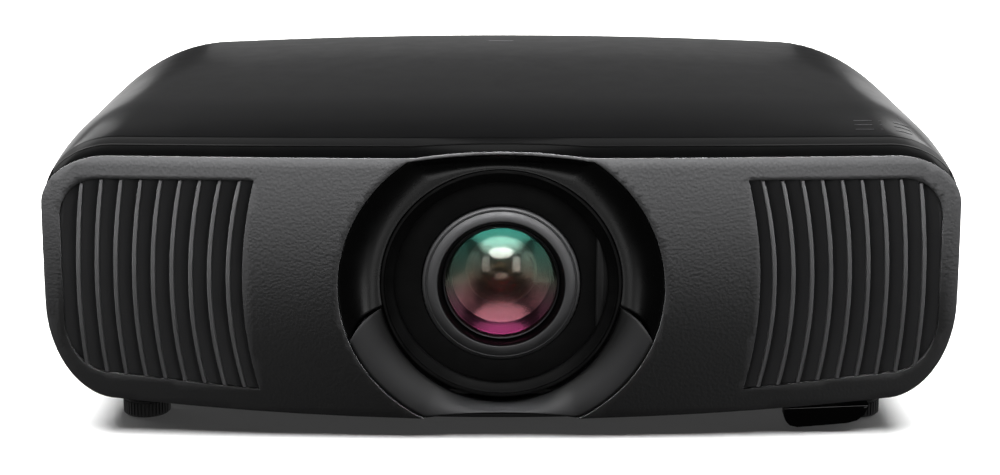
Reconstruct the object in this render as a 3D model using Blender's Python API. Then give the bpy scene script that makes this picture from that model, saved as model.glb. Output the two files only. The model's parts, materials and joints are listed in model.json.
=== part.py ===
"""Home-cinema laser projector with a powered lens shutter, lens shift, feet and buttons.

Metres, +Z up, the front faces -Y. The origin is under the middle of the body, on the surface it
stands on. Most places are given as (x, depth, height): depth runs back from the middle of the
front, and height is taken from the lens axis.
"""

import bmesh
import bpy
from math import atan2, cos, pi, radians, sin, sqrt
from mathutils import Matrix

# ---------------------------------------------------------------- driving dimensions
WIDTH = 0.520
DEPTH = 0.447
LENS_HEIGHT = 0.090          # lens axis above the table
FRONT = -DEPTH / 2
HALF = WIDTH / 2
GAP = 0.0003                 # clearance between neighbouring pieces
WELL_GAP = 0.0006            # the same round the well's mouth
WALL = 0.0025                # casing wall

CROWN_TOP = 0.1135           # highest line of the lid above the lens axis
CREST_DEPTH = 0.183          # how far back that line is
LID_RADIUS_FRONT = 0.688     # side-view radius of the lid before the crest
LID_RADIUS_REAR = 0.900
LID_FRONT_DIP = 0.0105       # the lid's front edge curls down by this
LID_FRONT_DIP_RUN = 0.055
CROWN_RADIUS = 3.990         # cross crown of the lid
SHOULDER_SPRING = 0.0435     # where the shoulders start
SEAM = -0.010                # lid and base part here
CORNER_X, CORNER_Z = 0.039, 0.057    # lower corner half axes
BELLY = -0.0775              # underside on the centre line
BELLY_RISE = 0.215           # the fascia's lower edge rises by this times x squared ...
PAN_RISE = 0.050             # ... and the pan's underside, further back, by this
PAN_RUN = 0.040
REAR_ROUND = 0.045           # plan radius of the rear corners
REAR_SEAM = 0.425            # the rear panel starts here

PLAN_RADIUS = 2.8            # the front is convex in plan ...
PROFILE_RADIUS = 0.7         # ... and in side view
FASCIA_WALL = 0.003
FASCIA_TOP = 0.0748
FASCIA_CORNER_X, FASCIA_CORNER_Z = 0.039, 0.0278
BUMP_HALF, BUMP_RISE = 0.0486, 0.0038   # the rim of the lens well lifts the top edge

WELL_A, WELL_B = 0.0925, 0.088      # half axes of the well's mouth
RING_R, RING_SQUASH = 0.0689, 0.968
RING_FRONT, RING_BACK = 0.0125, 0.0198
BORE_R = 0.0610
CHIN_INNER_ANGLE, CHIN_OUTER_ANGLE = 191.0, 200.5

SHUTTER_FRONT, SHUTTER_BACK = 0.0212, 0.0232
SHUTTER_EDGE = 0.0545        # the parked shutter's edge shows inside the bore
SHUTTER_W, SHUTTER_H = 0.124, 0.128
SHUTTER_TRAVEL = 0.116

MASK_FRONT, MASK_BACK = 0.0296, 0.0308
LENS_AXIS_DROP = 0.003       # the lens rests a little below the middle of its well
LENS_RING_R = 0.0456
LENS_FRONT = 0.0255
GLASS_R = 0.0323
SHIFT_X, SHIFT_Z = 0.0075, 0.0080

TOOTH_PITCH = 0.0032
PINION_TEETH = 14
PINION_R = TOOTH_PITCH * PINION_TEETH / (2 * pi)

FOOT_X, FOOT_DEPTH = 0.2125, 0.058
FOOT_R, FOOT_H = 0.0140, 0.0105
REAR_FOOT_X, REAR_FOOT_DEPTH = 0.200, 0.385
WINDOW_FRONT, WINDOW_BACK = 0.0165, 0.0245
SOCKET_HEIGHT = -0.038
KEY_HEIGHT, NAVIGATION_DEPTH = 0.0180, 0.2900


# ---------------------------------------------------------------- small helpers
def clear_scene():
    for old in list(bpy.data.objects):
        bpy.data.objects.remove(old, do_unlink=True)


def material(name, colour, roughness, metallic=0.0, alpha=1.0):
    mat = bpy.data.materials.new(name)
    mat.use_nodes = True
    shader = mat.node_tree.nodes["Principled BSDF"]
    shader.inputs["Base Color"].default_value = (*colour, 1.0)
    shader.inputs["Roughness"].default_value = roughness
    shader.inputs["Metallic"].default_value = metallic
    shader.inputs["Alpha"].default_value = alpha
    return mat


def spot(x, depth, height):
    return (x, FRONT + depth, LENS_HEIGHT + height)


def finish(bm, name, mat, place=(0.0, 0.0, 0.0), turn=None):
    """Turns a bmesh into a named object, with its faces pointing out."""
    bmesh.ops.remove_doubles(bm, verts=bm.verts, dist=1e-7)
    bmesh.ops.recalc_face_normals(bm, faces=bm.faces)
    mesh = bpy.data.meshes.new(name)
    bm.to_mesh(mesh)
    bm.free()
    mesh.shade_smooth()
    mesh.set_sharp_from_angle(angle=radians(35))
    mesh.materials.append(mat)
    obj = bpy.data.objects.new(name, mesh)
    bpy.context.scene.collection.objects.link(obj)
    obj.location = place
    if turn:
        obj.rotation_euler = turn
    return obj


def cut(target, cutter, operation="DIFFERENCE"):
    mod = target.modifiers.new("cut", "BOOLEAN")
    mod.operation = operation
    mod.solver = "EXACT"
    mod.object = cutter
    cutter.hide_render = True
    cutter.display_type = "WIRE"
    return target


def add_box(bm, low, high):
    made = bmesh.ops.create_cube(bm, size=1.0)["verts"]
    for vert in made:
        vert.co = [l + (h - l) * (c + 0.5) for l, h, c in zip(low, high, vert.co)]
    return made


def box(name, low, high, mat, bevel=0.0):
    """A block between two (x, depth, height) corners, with its edges broken by bevel."""
    middle = [(a + b) / 2 for a, b in zip(low, high)]
    half = [(b - a) / 2 for a, b in zip(low, high)]
    bm = bmesh.new()
    add_box(bm, [-h for h in half], half)
    if bevel:
        bmesh.ops.bevel(bm, geom=bm.edges[:], offset=bevel, segments=1, affect="EDGES")
    return finish(bm, name, mat, spot(*middle))


def tray(name, low, high, wall, open_side, mat):
    """A block hollowed from one side, given as its axis number and -1 or +1."""
    axis, way = open_side
    outer = box(name, low, high, mat)
    inner_low = [a + wall for a in low]
    inner_high = [b - wall for b in high]
    if way > 0:
        inner_high[axis] = high[axis] + wall
    else:
        inner_low[axis] = low[axis] - wall
    return cut(outer, box(name + "_hollow", inner_low, inner_high, mat))


def lathe(bm, profile, steps, centre=(0.0, 0.0), squash=1.0):
    """Turns a closed outline of (radius, depth) points about the depth axis."""
    rings = []
    for radius, depth in profile:
        if radius < 1e-9:
            rings.append([bm.verts.new((centre[0], depth, centre[1]))])
            continue
        ring = []
        for step in range(steps):
            angle = 2 * pi * step / steps
            x = centre[0] + radius * cos(angle)
            z = centre[1] + radius * squash * sin(angle)
            ring.append(bm.verts.new((x, depth, z)))
        rings.append(ring)
    for ring, after in zip(rings, rings[1:] + rings[:1]):
        if len(ring) == 1 and len(after) == 1:
            continue
        for step in range(steps):
            nxt = (step + 1) % steps
            corners = [ring[step % len(ring)], ring[nxt % len(ring)]]
            corners += [after[nxt % len(after)], after[step % len(after)]]
            unique = list(dict.fromkeys(corners))
            bm.faces.new(unique)


def turned(name, profile, steps, mat, place, squash=1.0, turn=None):
    bm = bmesh.new()
    lathe(bm, profile, steps, squash=squash)
    return finish(bm, name, mat, place, turn)


def tube_profile(inner, outer, front, back, chamfer=0.0):
    if not chamfer:
        return [(outer, front), (outer, back), (inner, back), (inner, front)]
    return [
        (outer - chamfer, front), (outer, front + chamfer), (outer, back),
        (inner, back), (inner, front),
    ]


def rod_profile(radius, front, back):
    return [(0.0, front), (radius, front), (radius, back), (0.0, back)]


def loft(bm, rings, closed_path=False):
    """Skins closed rings of equal length one to the next, and caps the two ends."""
    made = [[bm.verts.new(point) for point in ring] for ring in rings]
    pairs = list(zip(made, made[1:]))
    if closed_path:
        pairs.append((made[-1], made[0]))
    for ring, after in pairs:
        count = len(ring)
        for step in range(count):
            nxt = (step + 1) % count
            bm.faces.new((ring[step], ring[nxt], after[nxt], after[step]))
    if not closed_path:
        bm.faces.new(made[0])
        bm.faces.new(made[-1])


def cup(bm, outer, inner):
    """A shell of closed rings: both skins are capped at the far end and joined at the first."""
    skins = []
    for rings in (outer, inner):
        made = [[bm.verts.new(point) for point in ring] for ring in rings]
        for ring, after in zip(made, made[1:]):
            for step in range(len(ring)):
                nxt = (step + 1) % len(ring)
                bm.faces.new((ring[step], ring[nxt], after[nxt], after[step]))
        bm.faces.new(made[-1])
        skins.append(made[0])
    for step in range(len(skins[0])):
        nxt = (step + 1) % len(skins[0])
        bm.faces.new((skins[0][step], skins[0][nxt], skins[1][nxt], skins[1][step]))


def sheet(bm, outer, inner):
    """A curved wall: two equal grids of points, joined round their four borders."""
    grids = []
    for rows in (outer, inner):
        made = [[bm.verts.new(point) for point in row] for row in rows]
        for row, after in zip(made, made[1:]):
            for step in range(len(row) - 1):
                bm.faces.new((row[step], row[step + 1], after[step + 1], after[step]))
        grids.append(made)
    out, inn = grids
    borders = [
        ([row[0] for row in out], [row[0] for row in inn]),
        ([row[-1] for row in out], [row[-1] for row in inn]),
        (out[0], inn[0]),
        (out[-1], inn[-1]),
    ]
    for line, under in borders:
        for step in range(len(line) - 1):
            bm.faces.new((line[step], line[step + 1], under[step + 1], under[step]))


def plate(bm, outline, holes, front, back):
    """A flat plate across the depth axis from an outline of (x, height) points and its holes."""
    edges = []
    for loop in [outline, *holes]:
        made = [bm.verts.new((x, front, z)) for x, z in loop]
        edges += [bm.edges.new((a, b)) for a, b in zip(made, made[1:] + made[:1])]
    bmesh.ops.triangle_fill(bm, edges=edges, use_beauty=True, use_dissolve=False)
    moved = bmesh.ops.extrude_face_region(bm, geom=bm.faces[:])["geom"]
    for item in moved:
        if isinstance(item, bmesh.types.BMVert):
            item.co.y = back


def flat_part(name, outline, holes, front, back, mat):
    bm = bmesh.new()
    plate(bm, outline, holes, front, back)
    return finish(bm, name, mat, spot(0.0, 0.0, 0.0))


def circle(radius, steps, x=0.0, z=0.0):
    return [
        (x + radius * cos(2 * pi * i / steps), z + radius * sin(2 * pi * i / steps))
        for i in range(steps)
    ]


def rectangle(x0, z0, x1, z1):
    return [(x0, z0), (x1, z0), (x1, z1), (x0, z1)]


# ---------------------------------------------------------------- the shape of the body
def front_face(x, z):
    """Depth of the front's surface, convex both ways."""
    return x * x / (2 * PLAN_RADIUS) + z * z / (2 * PROFILE_RADIUS)


def lid_height(depth):
    radius = LID_RADIUS_FRONT if depth < CREST_DEPTH else LID_RADIUS_REAR
    height = CROWN_TOP - (depth - CREST_DEPTH) ** 2 / (2 * radius)
    left = max(0.0, 1 - depth / LID_FRONT_DIP_RUN)
    return height - LID_FRONT_DIP * left ** 2


def half_width(depth):
    into = max(0.0, depth - (DEPTH - REAR_ROUND)) / REAR_ROUND
    return HALF - REAR_ROUND * 0.6 * (1 - sqrt(max(0.0, 1 - into * into)))


def upper_section(depth, inset=0.0, shoulder_steps=7, crown_steps=4):
    """(x, z) points over the top, from the right-hand seam to the left-hand one."""
    top = lid_height(depth) - inset
    half = half_width(depth) - inset
    reach = min(1.0, depth / 0.12)
    round_x = 0.042 + 0.0335 * reach * min(1.0, (top - 0.0815) / 0.030 + 0.35)
    crown = (half - round_x) ** 2 / (2 * CROWN_RADIUS) * reach
    power = 0.93 + 0.07 * reach
    right = [(half, SEAM), (half, (SEAM + SHOULDER_SPRING) / 2)]
    for i in range(shoulder_steps + 1):
        angle = pi / 2 * i / shoulder_steps
        x = half - round_x + round_x * cos(angle) ** power if i < shoulder_steps else half - round_x
        z = SHOULDER_SPRING + (top - crown - SHOULDER_SPRING) * sin(angle) ** power
        right.append((x, z))
    for i in range(1, crown_steps):
        x = (half - round_x) * (1 - i / crown_steps)
        right.append((x, top - crown * (x / (half - round_x)) ** 2))
    left = [(-x, z) for x, z in reversed(right)]
    return right + [(0.0, top)] + left


def belly(x, depth):
    """Height of the underside: crowned along the front edge, nearly flat behind it."""
    rise = PAN_RISE + (BELLY_RISE - PAN_RISE) * max(0.0, 1 - depth / PAN_RUN)
    return BELLY + rise * x * x


def lower_section(depth, inset=0.0, corner_steps=5, belly_steps=4):
    """(x, z) points under the body, from the left-hand seam to the right-hand one."""
    half = half_width(depth) - inset
    middle = half - CORNER_X + inset * 0.3
    level = belly(middle, depth) + inset
    left = []
    for i in range(corner_steps + 1):
        angle = pi / 2 * i / corner_steps
        z = SEAM + (level - SEAM) * sin(angle)
        left.append((-middle - (half - middle) * cos(angle), z))
    for i in range(1, belly_steps):
        x = -middle * (1 - i / belly_steps)
        left.append((x, belly(x, depth) + inset))
    right = [(-x, z) for x, z in reversed(left)]
    return left + [(0.0, BELLY + inset)] + right


def at_front(x, z, depth, start):
    """Behind the fascia the casing's first row follows its curve, and later rows straighten."""
    lift = max(0.0, z - SHOULDER_SPRING) / 0.038
    edge = front_face(x, z) + FASCIA_WALL + 0.0005 + 0.0025 * lift
    blend = max(0.0, 1 - (depth - start) / 0.10)
    return depth + (edge - start) * blend


def fascia_top(x):
    rise = 0.0
    if abs(x) < BUMP_HALF:
        rise = BUMP_RISE * (1 - (x / BUMP_HALF) ** 2)
    return FASCIA_TOP + rise


def fascia_outline():
    """Round the front from the well's left foot, over the top, to its right foot, and back."""
    corner_x = HALF - FASCIA_CORNER_X
    left = [(-x, BELLY + BELLY_RISE * x * x) for x in (0.085, 0.130, 0.175)]
    for i in range(7):
        angle = pi / 2 * i / 6
        x = HALF - CORNER_X + CORNER_X * sin(angle)
        level = BELLY + BELLY_RISE * (HALF - CORNER_X) ** 2
        left.append((-x, SEAM + (level - SEAM) * cos(angle)))
    for i in range(7):
        angle = pi / 2 * i / 6
        z = FASCIA_TOP - FASCIA_CORNER_Z + FASCIA_CORNER_Z * sin(angle)
        left.append((-corner_x - FASCIA_CORNER_X * cos(angle), z))
    left += [(x, fascia_top(x)) for x in (-0.14, -BUMP_HALF, -0.033, -0.016)]
    right = [(-x, z) for x, z in reversed(left)]
    return left + [(0.0, fascia_top(0.0))] + right


def well_edge(angle, shrink=0.0):
    """A point of the well's mouth, kept under the fascia's top edge."""
    x = (WELL_A - shrink) * cos(angle)
    z = (WELL_B - shrink) * sin(angle)
    ceiling = fascia_top(x) - 0.0018 - shrink
    return (x, min(z, ceiling))


def chin_floor(x):
    """The chin's lower edge arches up a little over the middle."""
    return BELLY + 0.0002 + 0.0038 * max(0.0, 1 - (x / 0.047) ** 2)


def grille_outline(inset=0.0, steps=6):
    """The left vent's outline, as (x, z) points."""
    top, bottom_inner, bottom_outer = 0.0620, -0.0600, -0.0515
    inner, bow = -0.1385, 0.0078
    points = []
    for i in range(steps + 1):
        t = 1 - 2 * i / steps
        z = (top - inset) * (1 + t) / 2 + (bottom_inner + inset) * (1 - t) / 2
        points.append((inner - bow * (1 - t * t) - inset, z))
    for x in (-0.170, -0.200):
        along = (x - inner) / (-0.2247 - inner)
        points.append((x, bottom_inner + (bottom_outer - bottom_inner) * along + inset))
    for i in range(5):
        angle = pi / 2 * i / 4
        x = -0.2247 - (0.0250 - inset) * sin(angle)
        points.append((x, -0.0215 - (0.0300 - inset) * cos(angle)))
    for i in range(5):
        angle = pi / 2 * i / 4
        x = -0.2267 - (0.0230 - inset) * cos(angle)
        points.append((x, 0.0390 + (0.0230 - inset) * sin(angle)))
    return points


def rib_centre(number, z):
    """x of a vent rib: the ribs bow outwards, the inner ones most."""
    bow = 0.0081 - 0.0005 * number
    return -0.1547 - 0.0107 * number + bow * (z / 0.061) ** 2


def vent_reach(x, inset):
    """The lowest and highest z inside the vent's outline at x."""
    outline = grille_outline(inset)
    hits = []
    for (xa, za), (xb, zb) in zip(outline, outline[1:] + outline[:1]):
        if (xa - x) * (xb - x) <= 0 and xa != xb:
            hits.append(za + (zb - za) * (x - xa) / (xb - xa))
    return min(hits), max(hits)


# ---------------------------------------------------------------- casing
def make_casing(mats):
    depths = [0.0107, 0.022, 0.040, 0.075, 0.120, 0.183, 0.250, 0.320, 0.380, REAR_SEAM - GAP]
    outer, inner = [], []
    for depth in depths:
        rows = []
        for inset in (0.0, WALL):
            section = upper_section(depth, inset)
            rows.append([(x, at_front(x, z, depth, depths[0]), z) for x, z in section])
        outer.append(rows[0])
        inner.append(rows[1])
    bm = bmesh.new()
    sheet(bm, outer, inner)
    top_cover = finish(bm, "top_cover", mats["lid"], spot(0, 0, 0))

    base_outer, base_inner = [], []
    for depth in [0.0107, 0.022, PAN_RUN, 0.150, 0.250, 0.350, 0.400, REAR_SEAM - GAP]:
        for inset, rows in ((0.0, base_outer), (WALL, base_inner)):
            section = lower_section(max(0.0, depth - 0.0107) if depth < PAN_RUN else depth, inset)
            section[0] = (section[0][0], SEAM - GAP)
            section[-1] = (section[-1][0], SEAM - GAP)
            rows.append([(x, at_front(x, z, depth, 0.0107), z) for x, z in section])
    bm = bmesh.new()
    sheet(bm, base_outer, base_inner)
    base_pan = finish(bm, "base_pan", mats["base"], spot(0, 0, 0))

    rings = ([], [])
    for depth, tuck in ((REAR_SEAM, 0.0), (0.434, 0.0010), (0.442, 0.0045), (DEPTH, 0.0120)):
        for inset, made in ((0.0, rings[0]), (WALL, rings[1])):
            pull = tuck + inset
            loop = upper_section(REAR_SEAM, pull)[1:-1] + lower_section(REAR_SEAM, pull)
            made.append([(x, depth - inset * (depth > REAR_SEAM), z) for x, z in loop])
    bm = bmesh.new()
    cup(bm, *rings)
    rear_panel = finish(bm, "rear_panel", mats["base"], spot(0, 0, 0))
    return top_cover, base_pan, rear_panel


def make_fascia(mats):
    columns, rows = 26, 8
    grids = []
    for offset in (0.0, FASCIA_WALL):
        grid = []
        for row in range(rows + 1):
            z = -0.082 + 0.164 * row / rows
            line = []
            for column in range(columns + 1):
                x = -0.264 + 0.528 * column / columns
                line.append((x, front_face(x, z) + offset, z))
            grid.append(line)
        grids.append(grid)
    bm = bmesh.new()
    sheet(bm, *grids)
    fascia = finish(bm, "front_fascia", mats["fascia"], spot(0, 0, 0))

    outline = fascia_outline()
    start = atan2(-0.0773 / WELL_B, 0.0442 / WELL_A)
    angles = [start + (pi - 2 * start) * i / 48 for i in range(49)]
    mouth = [well_edge(angle) for angle in angles]
    vents = [grille_outline(), [(-x, z) for x, z in grille_outline()]]
    prism = flat_part("fascia_prism", outline + mouth, vents, -0.02, 0.05, mats["fascia"])
    cut(fascia, prism, "INTERSECT")

    bm = bmesh.new()
    stations = []
    rim = [p for p in upper_section(0.0107) if p[1] > 0.0665]
    crown = max(z for x, z in rim)
    rim += [(x, crown) for x in (-BUMP_HALF, -0.032, -0.016, 0.016, 0.032, BUMP_HALF)]
    for x, z in sorted(rim):
        foot = edge_under(x)
        lift = max(0.0, z - SHOULDER_SPRING) / 0.038
        seam_depth = front_face(x, z) + FASCIA_WALL + 0.0005 + 0.0025 * lift - GAP
        low_z = foot + 0.0004
        stations.append([
            (x, front_face(x, low_z) + 0.0007, low_z),
            (x, seam_depth, z),
            (x, seam_depth - 0.0006, max(z - WALL, low_z + 0.0002)),
            (x, front_face(x, low_z) + FASCIA_WALL, low_z),
        ])
    loft(bm, stations)
    finish(bm, "front_brow", mats["lid"], spot(0, 0, 0))


def edge_under(x):
    """The fascia's top edge at x, corners included."""
    over = abs(x) - (HALF - FASCIA_CORNER_X)
    if over <= 0:
        return fascia_top(x)
    drop = sqrt(max(0.0, 1 - (over / FASCIA_CORNER_X) ** 2))
    return FASCIA_TOP - FASCIA_CORNER_Z * (1 - drop)


def make_vent(name, side, mats):
    """One vent: nine bowed ribs between a rim, cut as the gaps that they leave."""
    inset, rim, half_rib, steps = 0.0004, 0.0022, 0.0012, 5
    last_rib = 8

    def inner_wall(z):
        return -0.1385 - 0.0078 * (1 - ((z - 0.001) / 0.061) ** 2) - inset - rim

    gaps = []
    for number in range(last_rib + 1):
        right_middle = inner_wall(0.0) if number == 0 else rib_centre(number - 1, 0.0) - half_rib
        left_middle = rib_centre(number, 0.0) + half_rib
        sides = []
        for middle in (right_middle, left_middle):
            low, high = vent_reach(middle, inset + rim)
            heights = [low + (high - low) * i / steps for i in range(steps + 1)]
            if middle == left_middle:
                sides.append([(rib_centre(number, z) + half_rib, z) for z in reversed(heights)])
            elif number == 0:
                sides.append([(inner_wall(z), z) for z in heights])
            else:
                sides.append([(rib_centre(number - 1, z) - half_rib, z) for z in heights])
        gaps.append(sides[0] + sides[1])
    bm = bmesh.new()
    plate(bm, grille_outline(inset), gaps, 0.0, 0.010)
    for vert in bm.verts:
        vert.co.y += front_face(vert.co.x, vert.co.z) + 0.0010
        vert.co.x *= side
    finish(bm, name, mats["vent"], spot(0, 0, 0))


def well_sector(name, first, last, steps, mat, profile_of):
    """A sector of the well's funnel between two angles; profile_of gives its cross-section."""
    bm = bmesh.new()
    loft(bm, [profile_of(first + (last - first) * i / steps, i / steps) for i in range(steps + 1)])
    finish(bm, name, mat, spot(0, 0, 0))


def make_well(mats):
    gap_angle = 0.4

    def funnel(angle_inner, along):
        skew = (CHIN_OUTER_ANGLE - CHIN_INNER_ANGLE) * (2 * along - 1)
        ring = radians(angle_inner)
        edge = radians(angle_inner + skew)
        xo, zo = well_edge(edge, WELL_GAP)
        xi, zi = (RING_R + GAP) * cos(ring), (RING_R + GAP) * RING_SQUASH * sin(ring)
        lip = front_face(xo, zo)
        xm, zm = xi + (xo - xi) * 0.55, zi + (zo - zi) * 0.55
        return [
            (xo, lip + 0.0006, zo), (xm, 0.0100, zm), (xi, RING_FRONT + 0.0002, zi),
            (xi, RING_FRONT + 0.0026, zi), (xm, 0.0124, zm), (xo, lip + 0.0032, zo),
        ]

    first = 180 - CHIN_INNER_ANGLE + gap_angle
    last = CHIN_INNER_ANGLE - gap_angle
    well_sector("lens_well_funnel", first, last, 36, mats["gloss"], funnel)

    def chin(angle_inner, along):
        skew = (CHIN_OUTER_ANGLE - CHIN_INNER_ANGLE) * (1 - 2 * along)
        ring = radians(angle_inner)
        xo, zo = well_edge(radians(angle_inner + skew), WELL_GAP)
        zo = max(zo, chin_floor(xo))
        xi, zi = (RING_R + 0.0008) * cos(ring), (RING_R + 0.0008) * RING_SQUASH * sin(ring)
        face = front_face(xo, zo)
        xm, zm = xi + (xo - xi) * 0.5, zi + (zo - zi) * 0.5
        return [
            (xo, face + 0.0003, zo), (xm, face * 0.5 + 0.0040, zm), (xi, RING_FRONT - 0.0025, zi),
            (xi, RING_FRONT + 0.0010, zi), (xm, face * 0.5 + 0.0062, zm), (xo, face + 0.0028, zo),
        ]

    well_sector("chin_panel", CHIN_INNER_ANGLE, 540 - CHIN_INNER_ANGLE, 28, mats["chin"], chin)

    profile = [
        (RING_R - 0.0006, RING_FRONT), (RING_R, RING_FRONT + 0.0006), (RING_R, RING_BACK),
        (BORE_R, RING_BACK), (BORE_R, 0.0170), (0.0630, 0.0168), (0.0634, 0.0146),
        (0.0660, 0.0142), (0.0666, RING_FRONT),
    ]
    turned("lens_well_ring", profile, 48, mats["satin"], spot(0, 0, 0), squash=RING_SQUASH)


# ---------------------------------------------------------------- shutter
def make_shutter(mats):
    low_x = SHUTTER_EDGE
    high_x = SHUTTER_EDGE + SHUTTER_W
    top = SHUTTER_H / 2
    teeth = []
    count = int(SHUTTER_W / TOOTH_PITCH) - 1
    for i in range(count):
        x = high_x - 0.002 - i * TOOTH_PITCH
        teeth += [(x, top), (x - 0.0007, top + 0.0018), (x - 0.0011, top + 0.0018)]
        teeth += [(x - 0.0018, top)]
    outline = [(low_x, -top), (high_x, -top), (high_x, top)] + teeth + [(low_x, top)]
    flat_part("lens_shutter", outline, [], SHUTTER_FRONT, SHUTTER_BACK, mats["shutter"])

    last_tooth = high_x - 0.002 - 0.0009
    pinion_x = last_tooth - TOOTH_PITCH * round((last_tooth - (low_x + 0.0065)) / TOOTH_PITCH)
    pinion_z = top + 0.0012 + PINION_R
    bm = bmesh.new()
    points = []
    for i in range(PINION_TEETH):
        middle = -pi / 2 + 2 * pi * (i + 0.5) / PINION_TEETH
        root, tip = PINION_R - 0.0012, PINION_R + 0.0006
        for shift, radius in ((-0.5, root), (-0.11, tip), (0.11, tip), (0.5, root)):
            angle = middle + shift * 0.62 * 2 * pi / PINION_TEETH
            points.append((radius * cos(angle), radius * sin(angle)))
    plate(bm, points, [], -0.0011, 0.0011)
    middle_depth = (SHUTTER_FRONT + SHUTTER_BACK) / 2
    finish(bm, "shutter_pinion", mats["nylon"], spot(pinion_x, middle_depth, pinion_z))

    rail_low, rail_high = -0.0665, high_x + 0.004
    box("shutter_rail_lower", (rail_low, 0.0206, -0.0670), (rail_high, 0.0240, -top - GAP),
        mats["nylon"])
    box("shutter_rail_upper", (rail_low, 0.0241, top - 0.004), (pinion_x - 0.0085, 0.0262, 0.0715),
        mats["nylon"])


# ---------------------------------------------------------------- lens and shift carriages
def make_lens(mats):
    drop = -LENS_AXIS_DROP
    axis_at = spot(0.0, 0.0, drop)

    face = [
        (0.0434, LENS_FRONT), (0.0440, LENS_FRONT + 0.0010), (0.0450, LENS_FRONT + 0.0010),
        (LENS_RING_R, LENS_FRONT + 0.0003), (LENS_RING_R, 0.0330), (0.0345, 0.0330),
        (0.0345, 0.0312), (0.0362, 0.0275), (0.0368, LENS_FRONT + 0.0002),
    ]
    turned("lens_face_ring", face, 48, mats["ring"], axis_at)

    mask = circle(LENS_RING_R + 0.0006, 32, 0.0, drop)
    flat_part("lens_mask", rectangle(-0.078, -0.0650, 0.078, 0.074), [mask],
              MASK_FRONT, MASK_BACK, mats["mask"])

    barrel = [
        (0.0400, 0.0334), (0.0400, 0.1500), (0.0370, 0.1500), (0.0370, 0.0334),
    ]
    turned("lens_barrel", barrel, 32, mats["barrel"], axis_at)
    focus = tube_profile(0.0403, 0.0470, 0.0345, 0.0435)
    turned("focus_ring", focus, 40, mats["nylon"], axis_at)
    zoom = tube_profile(0.0403, 0.0470, 0.0445, 0.0535)
    turned("zoom_ring", zoom, 40, mats["nylon"], axis_at)

    cell = [
        (0.0341, 0.0300), (0.0341, 0.0345), (0.0366, 0.0352), (0.0366, 0.0560),
        (0.0345, 0.0560), (0.0345, 0.0390), (0.0330, 0.0380), (0.0326, 0.0300),
    ]
    turned("front_lens_cell", cell, 40, mats["barrel"], axis_at)
    glass = [(0.0, 0.0290)]
    for i in range(1, 6):
        radius = GLASS_R * i / 5
        glass.append((radius, 0.0290 + 0.0040 * (i / 5) ** 2))
    glass += [(GLASS_R, 0.0370), (0.0, 0.0405)]
    turned("front_lens_element", glass, 40, mats["glass"], axis_at)

    hole = circle(0.0403, 32, 0.0, drop)
    flat_part("vertical_carriage", rectangle(-0.060, -0.056, 0.060, 0.050), [hole],
              0.0580, 0.0630, mats["diecast"])
    slot = [
        (x, z + (SHIFT_Z if z > drop else -SHIFT_Z)) for x, z in circle(0.0430, 32, 0.0, drop)
    ]
    flat_part("horizontal_carriage", rectangle(-0.072, -0.0635, 0.072, 0.0600), [slot],
              0.0660, 0.0710, mats["diecast"])
    clear_x, clear_z = 0.043 + SHIFT_X + 0.001, 0.043 + SHIFT_Z + 0.001
    window = rectangle(-clear_x, drop - clear_z, clear_x, drop + clear_z)
    flat_part("lens_mount_frame", rectangle(-0.095, -0.0690, 0.095, 0.0690), [window],
              0.0760, 0.0820, mats["diecast"])

    screw = rod_profile(0.0020, -0.045, 0.045)
    turned("horizontal_lead_screw", screw, 10, mats["steel"], spot(0.0, 0.0735, 0.0640),
           turn=(0, 0, pi / 2))
    turned("vertical_lead_screw", screw, 10, mats["steel"], spot(0.0670, 0.0640, 0.0),
           turn=(pi / 2, 0, 0))


# ---------------------------------------------------------------- light engine, cooling, power
def make_engine(mats):
    tray("engine_housing", (-0.100, 0.1560, -0.0640), (0.100, 0.2700, 0.0400), 0.003, (2, 1),
         mats["diecast"])
    lens_port = box("engine_port", (-0.052, 0.150, -0.056), (0.052, 0.162, 0.050), mats["diecast"])
    cut(bpy.data.objects["engine_housing"], lens_port)
    box("prism_block", (-0.018, 0.170, -0.021), (0.018, 0.206, 0.015), mats["glass"])
    box("green_panel", (-0.017, 0.2080, -0.018), (0.017, 0.2100, 0.012), mats["panel"])
    box("red_panel", (-0.0220, 0.171, -0.018), (-0.0200, 0.205, 0.012), mats["panel"])
    box("blue_panel", (0.0200, 0.171, -0.018), (0.0220, 0.205, 0.012), mats["panel"])
    wheel = tube_profile(0.006, 0.028, 0.0, 0.0015)
    turned("phosphor_wheel", wheel, 32, mats["phosphor"], spot(-0.060, 0.2300, -0.010))
    box("laser_module", (0.040, 0.2200, -0.040), (0.090, 0.2600, 0.010), mats["finned"])

    high_x, fin, pitch, count = -0.130, 0.0016, 0.0120, 10
    foot, tip, floor = -0.040, 0.040, -0.034
    comb = [(high_x - (count - 1) * pitch - fin, foot), (high_x, foot)]
    for i in range(count):
        x = high_x - i * pitch
        comb += [(x, tip), (x - fin, tip)]
        if i < count - 1:
            comb += [(x - fin, floor), (x - pitch, floor)]
    flat_part("heat_sink", comb, [], 0.068, 0.143, mats["finned"])

    for name, side in (("exhaust", -1), ("intake", 1)):
        make_fan(name, side * 0.1930, 0.0270, mats)

    box("power_board", (0.125, 0.100, -0.0530), (0.238, 0.300, -0.0514), mats["board"])
    box("main_board", (-0.190, 0.320, 0.0300), (0.190, 0.4100, 0.0316), mats["board"])


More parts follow.
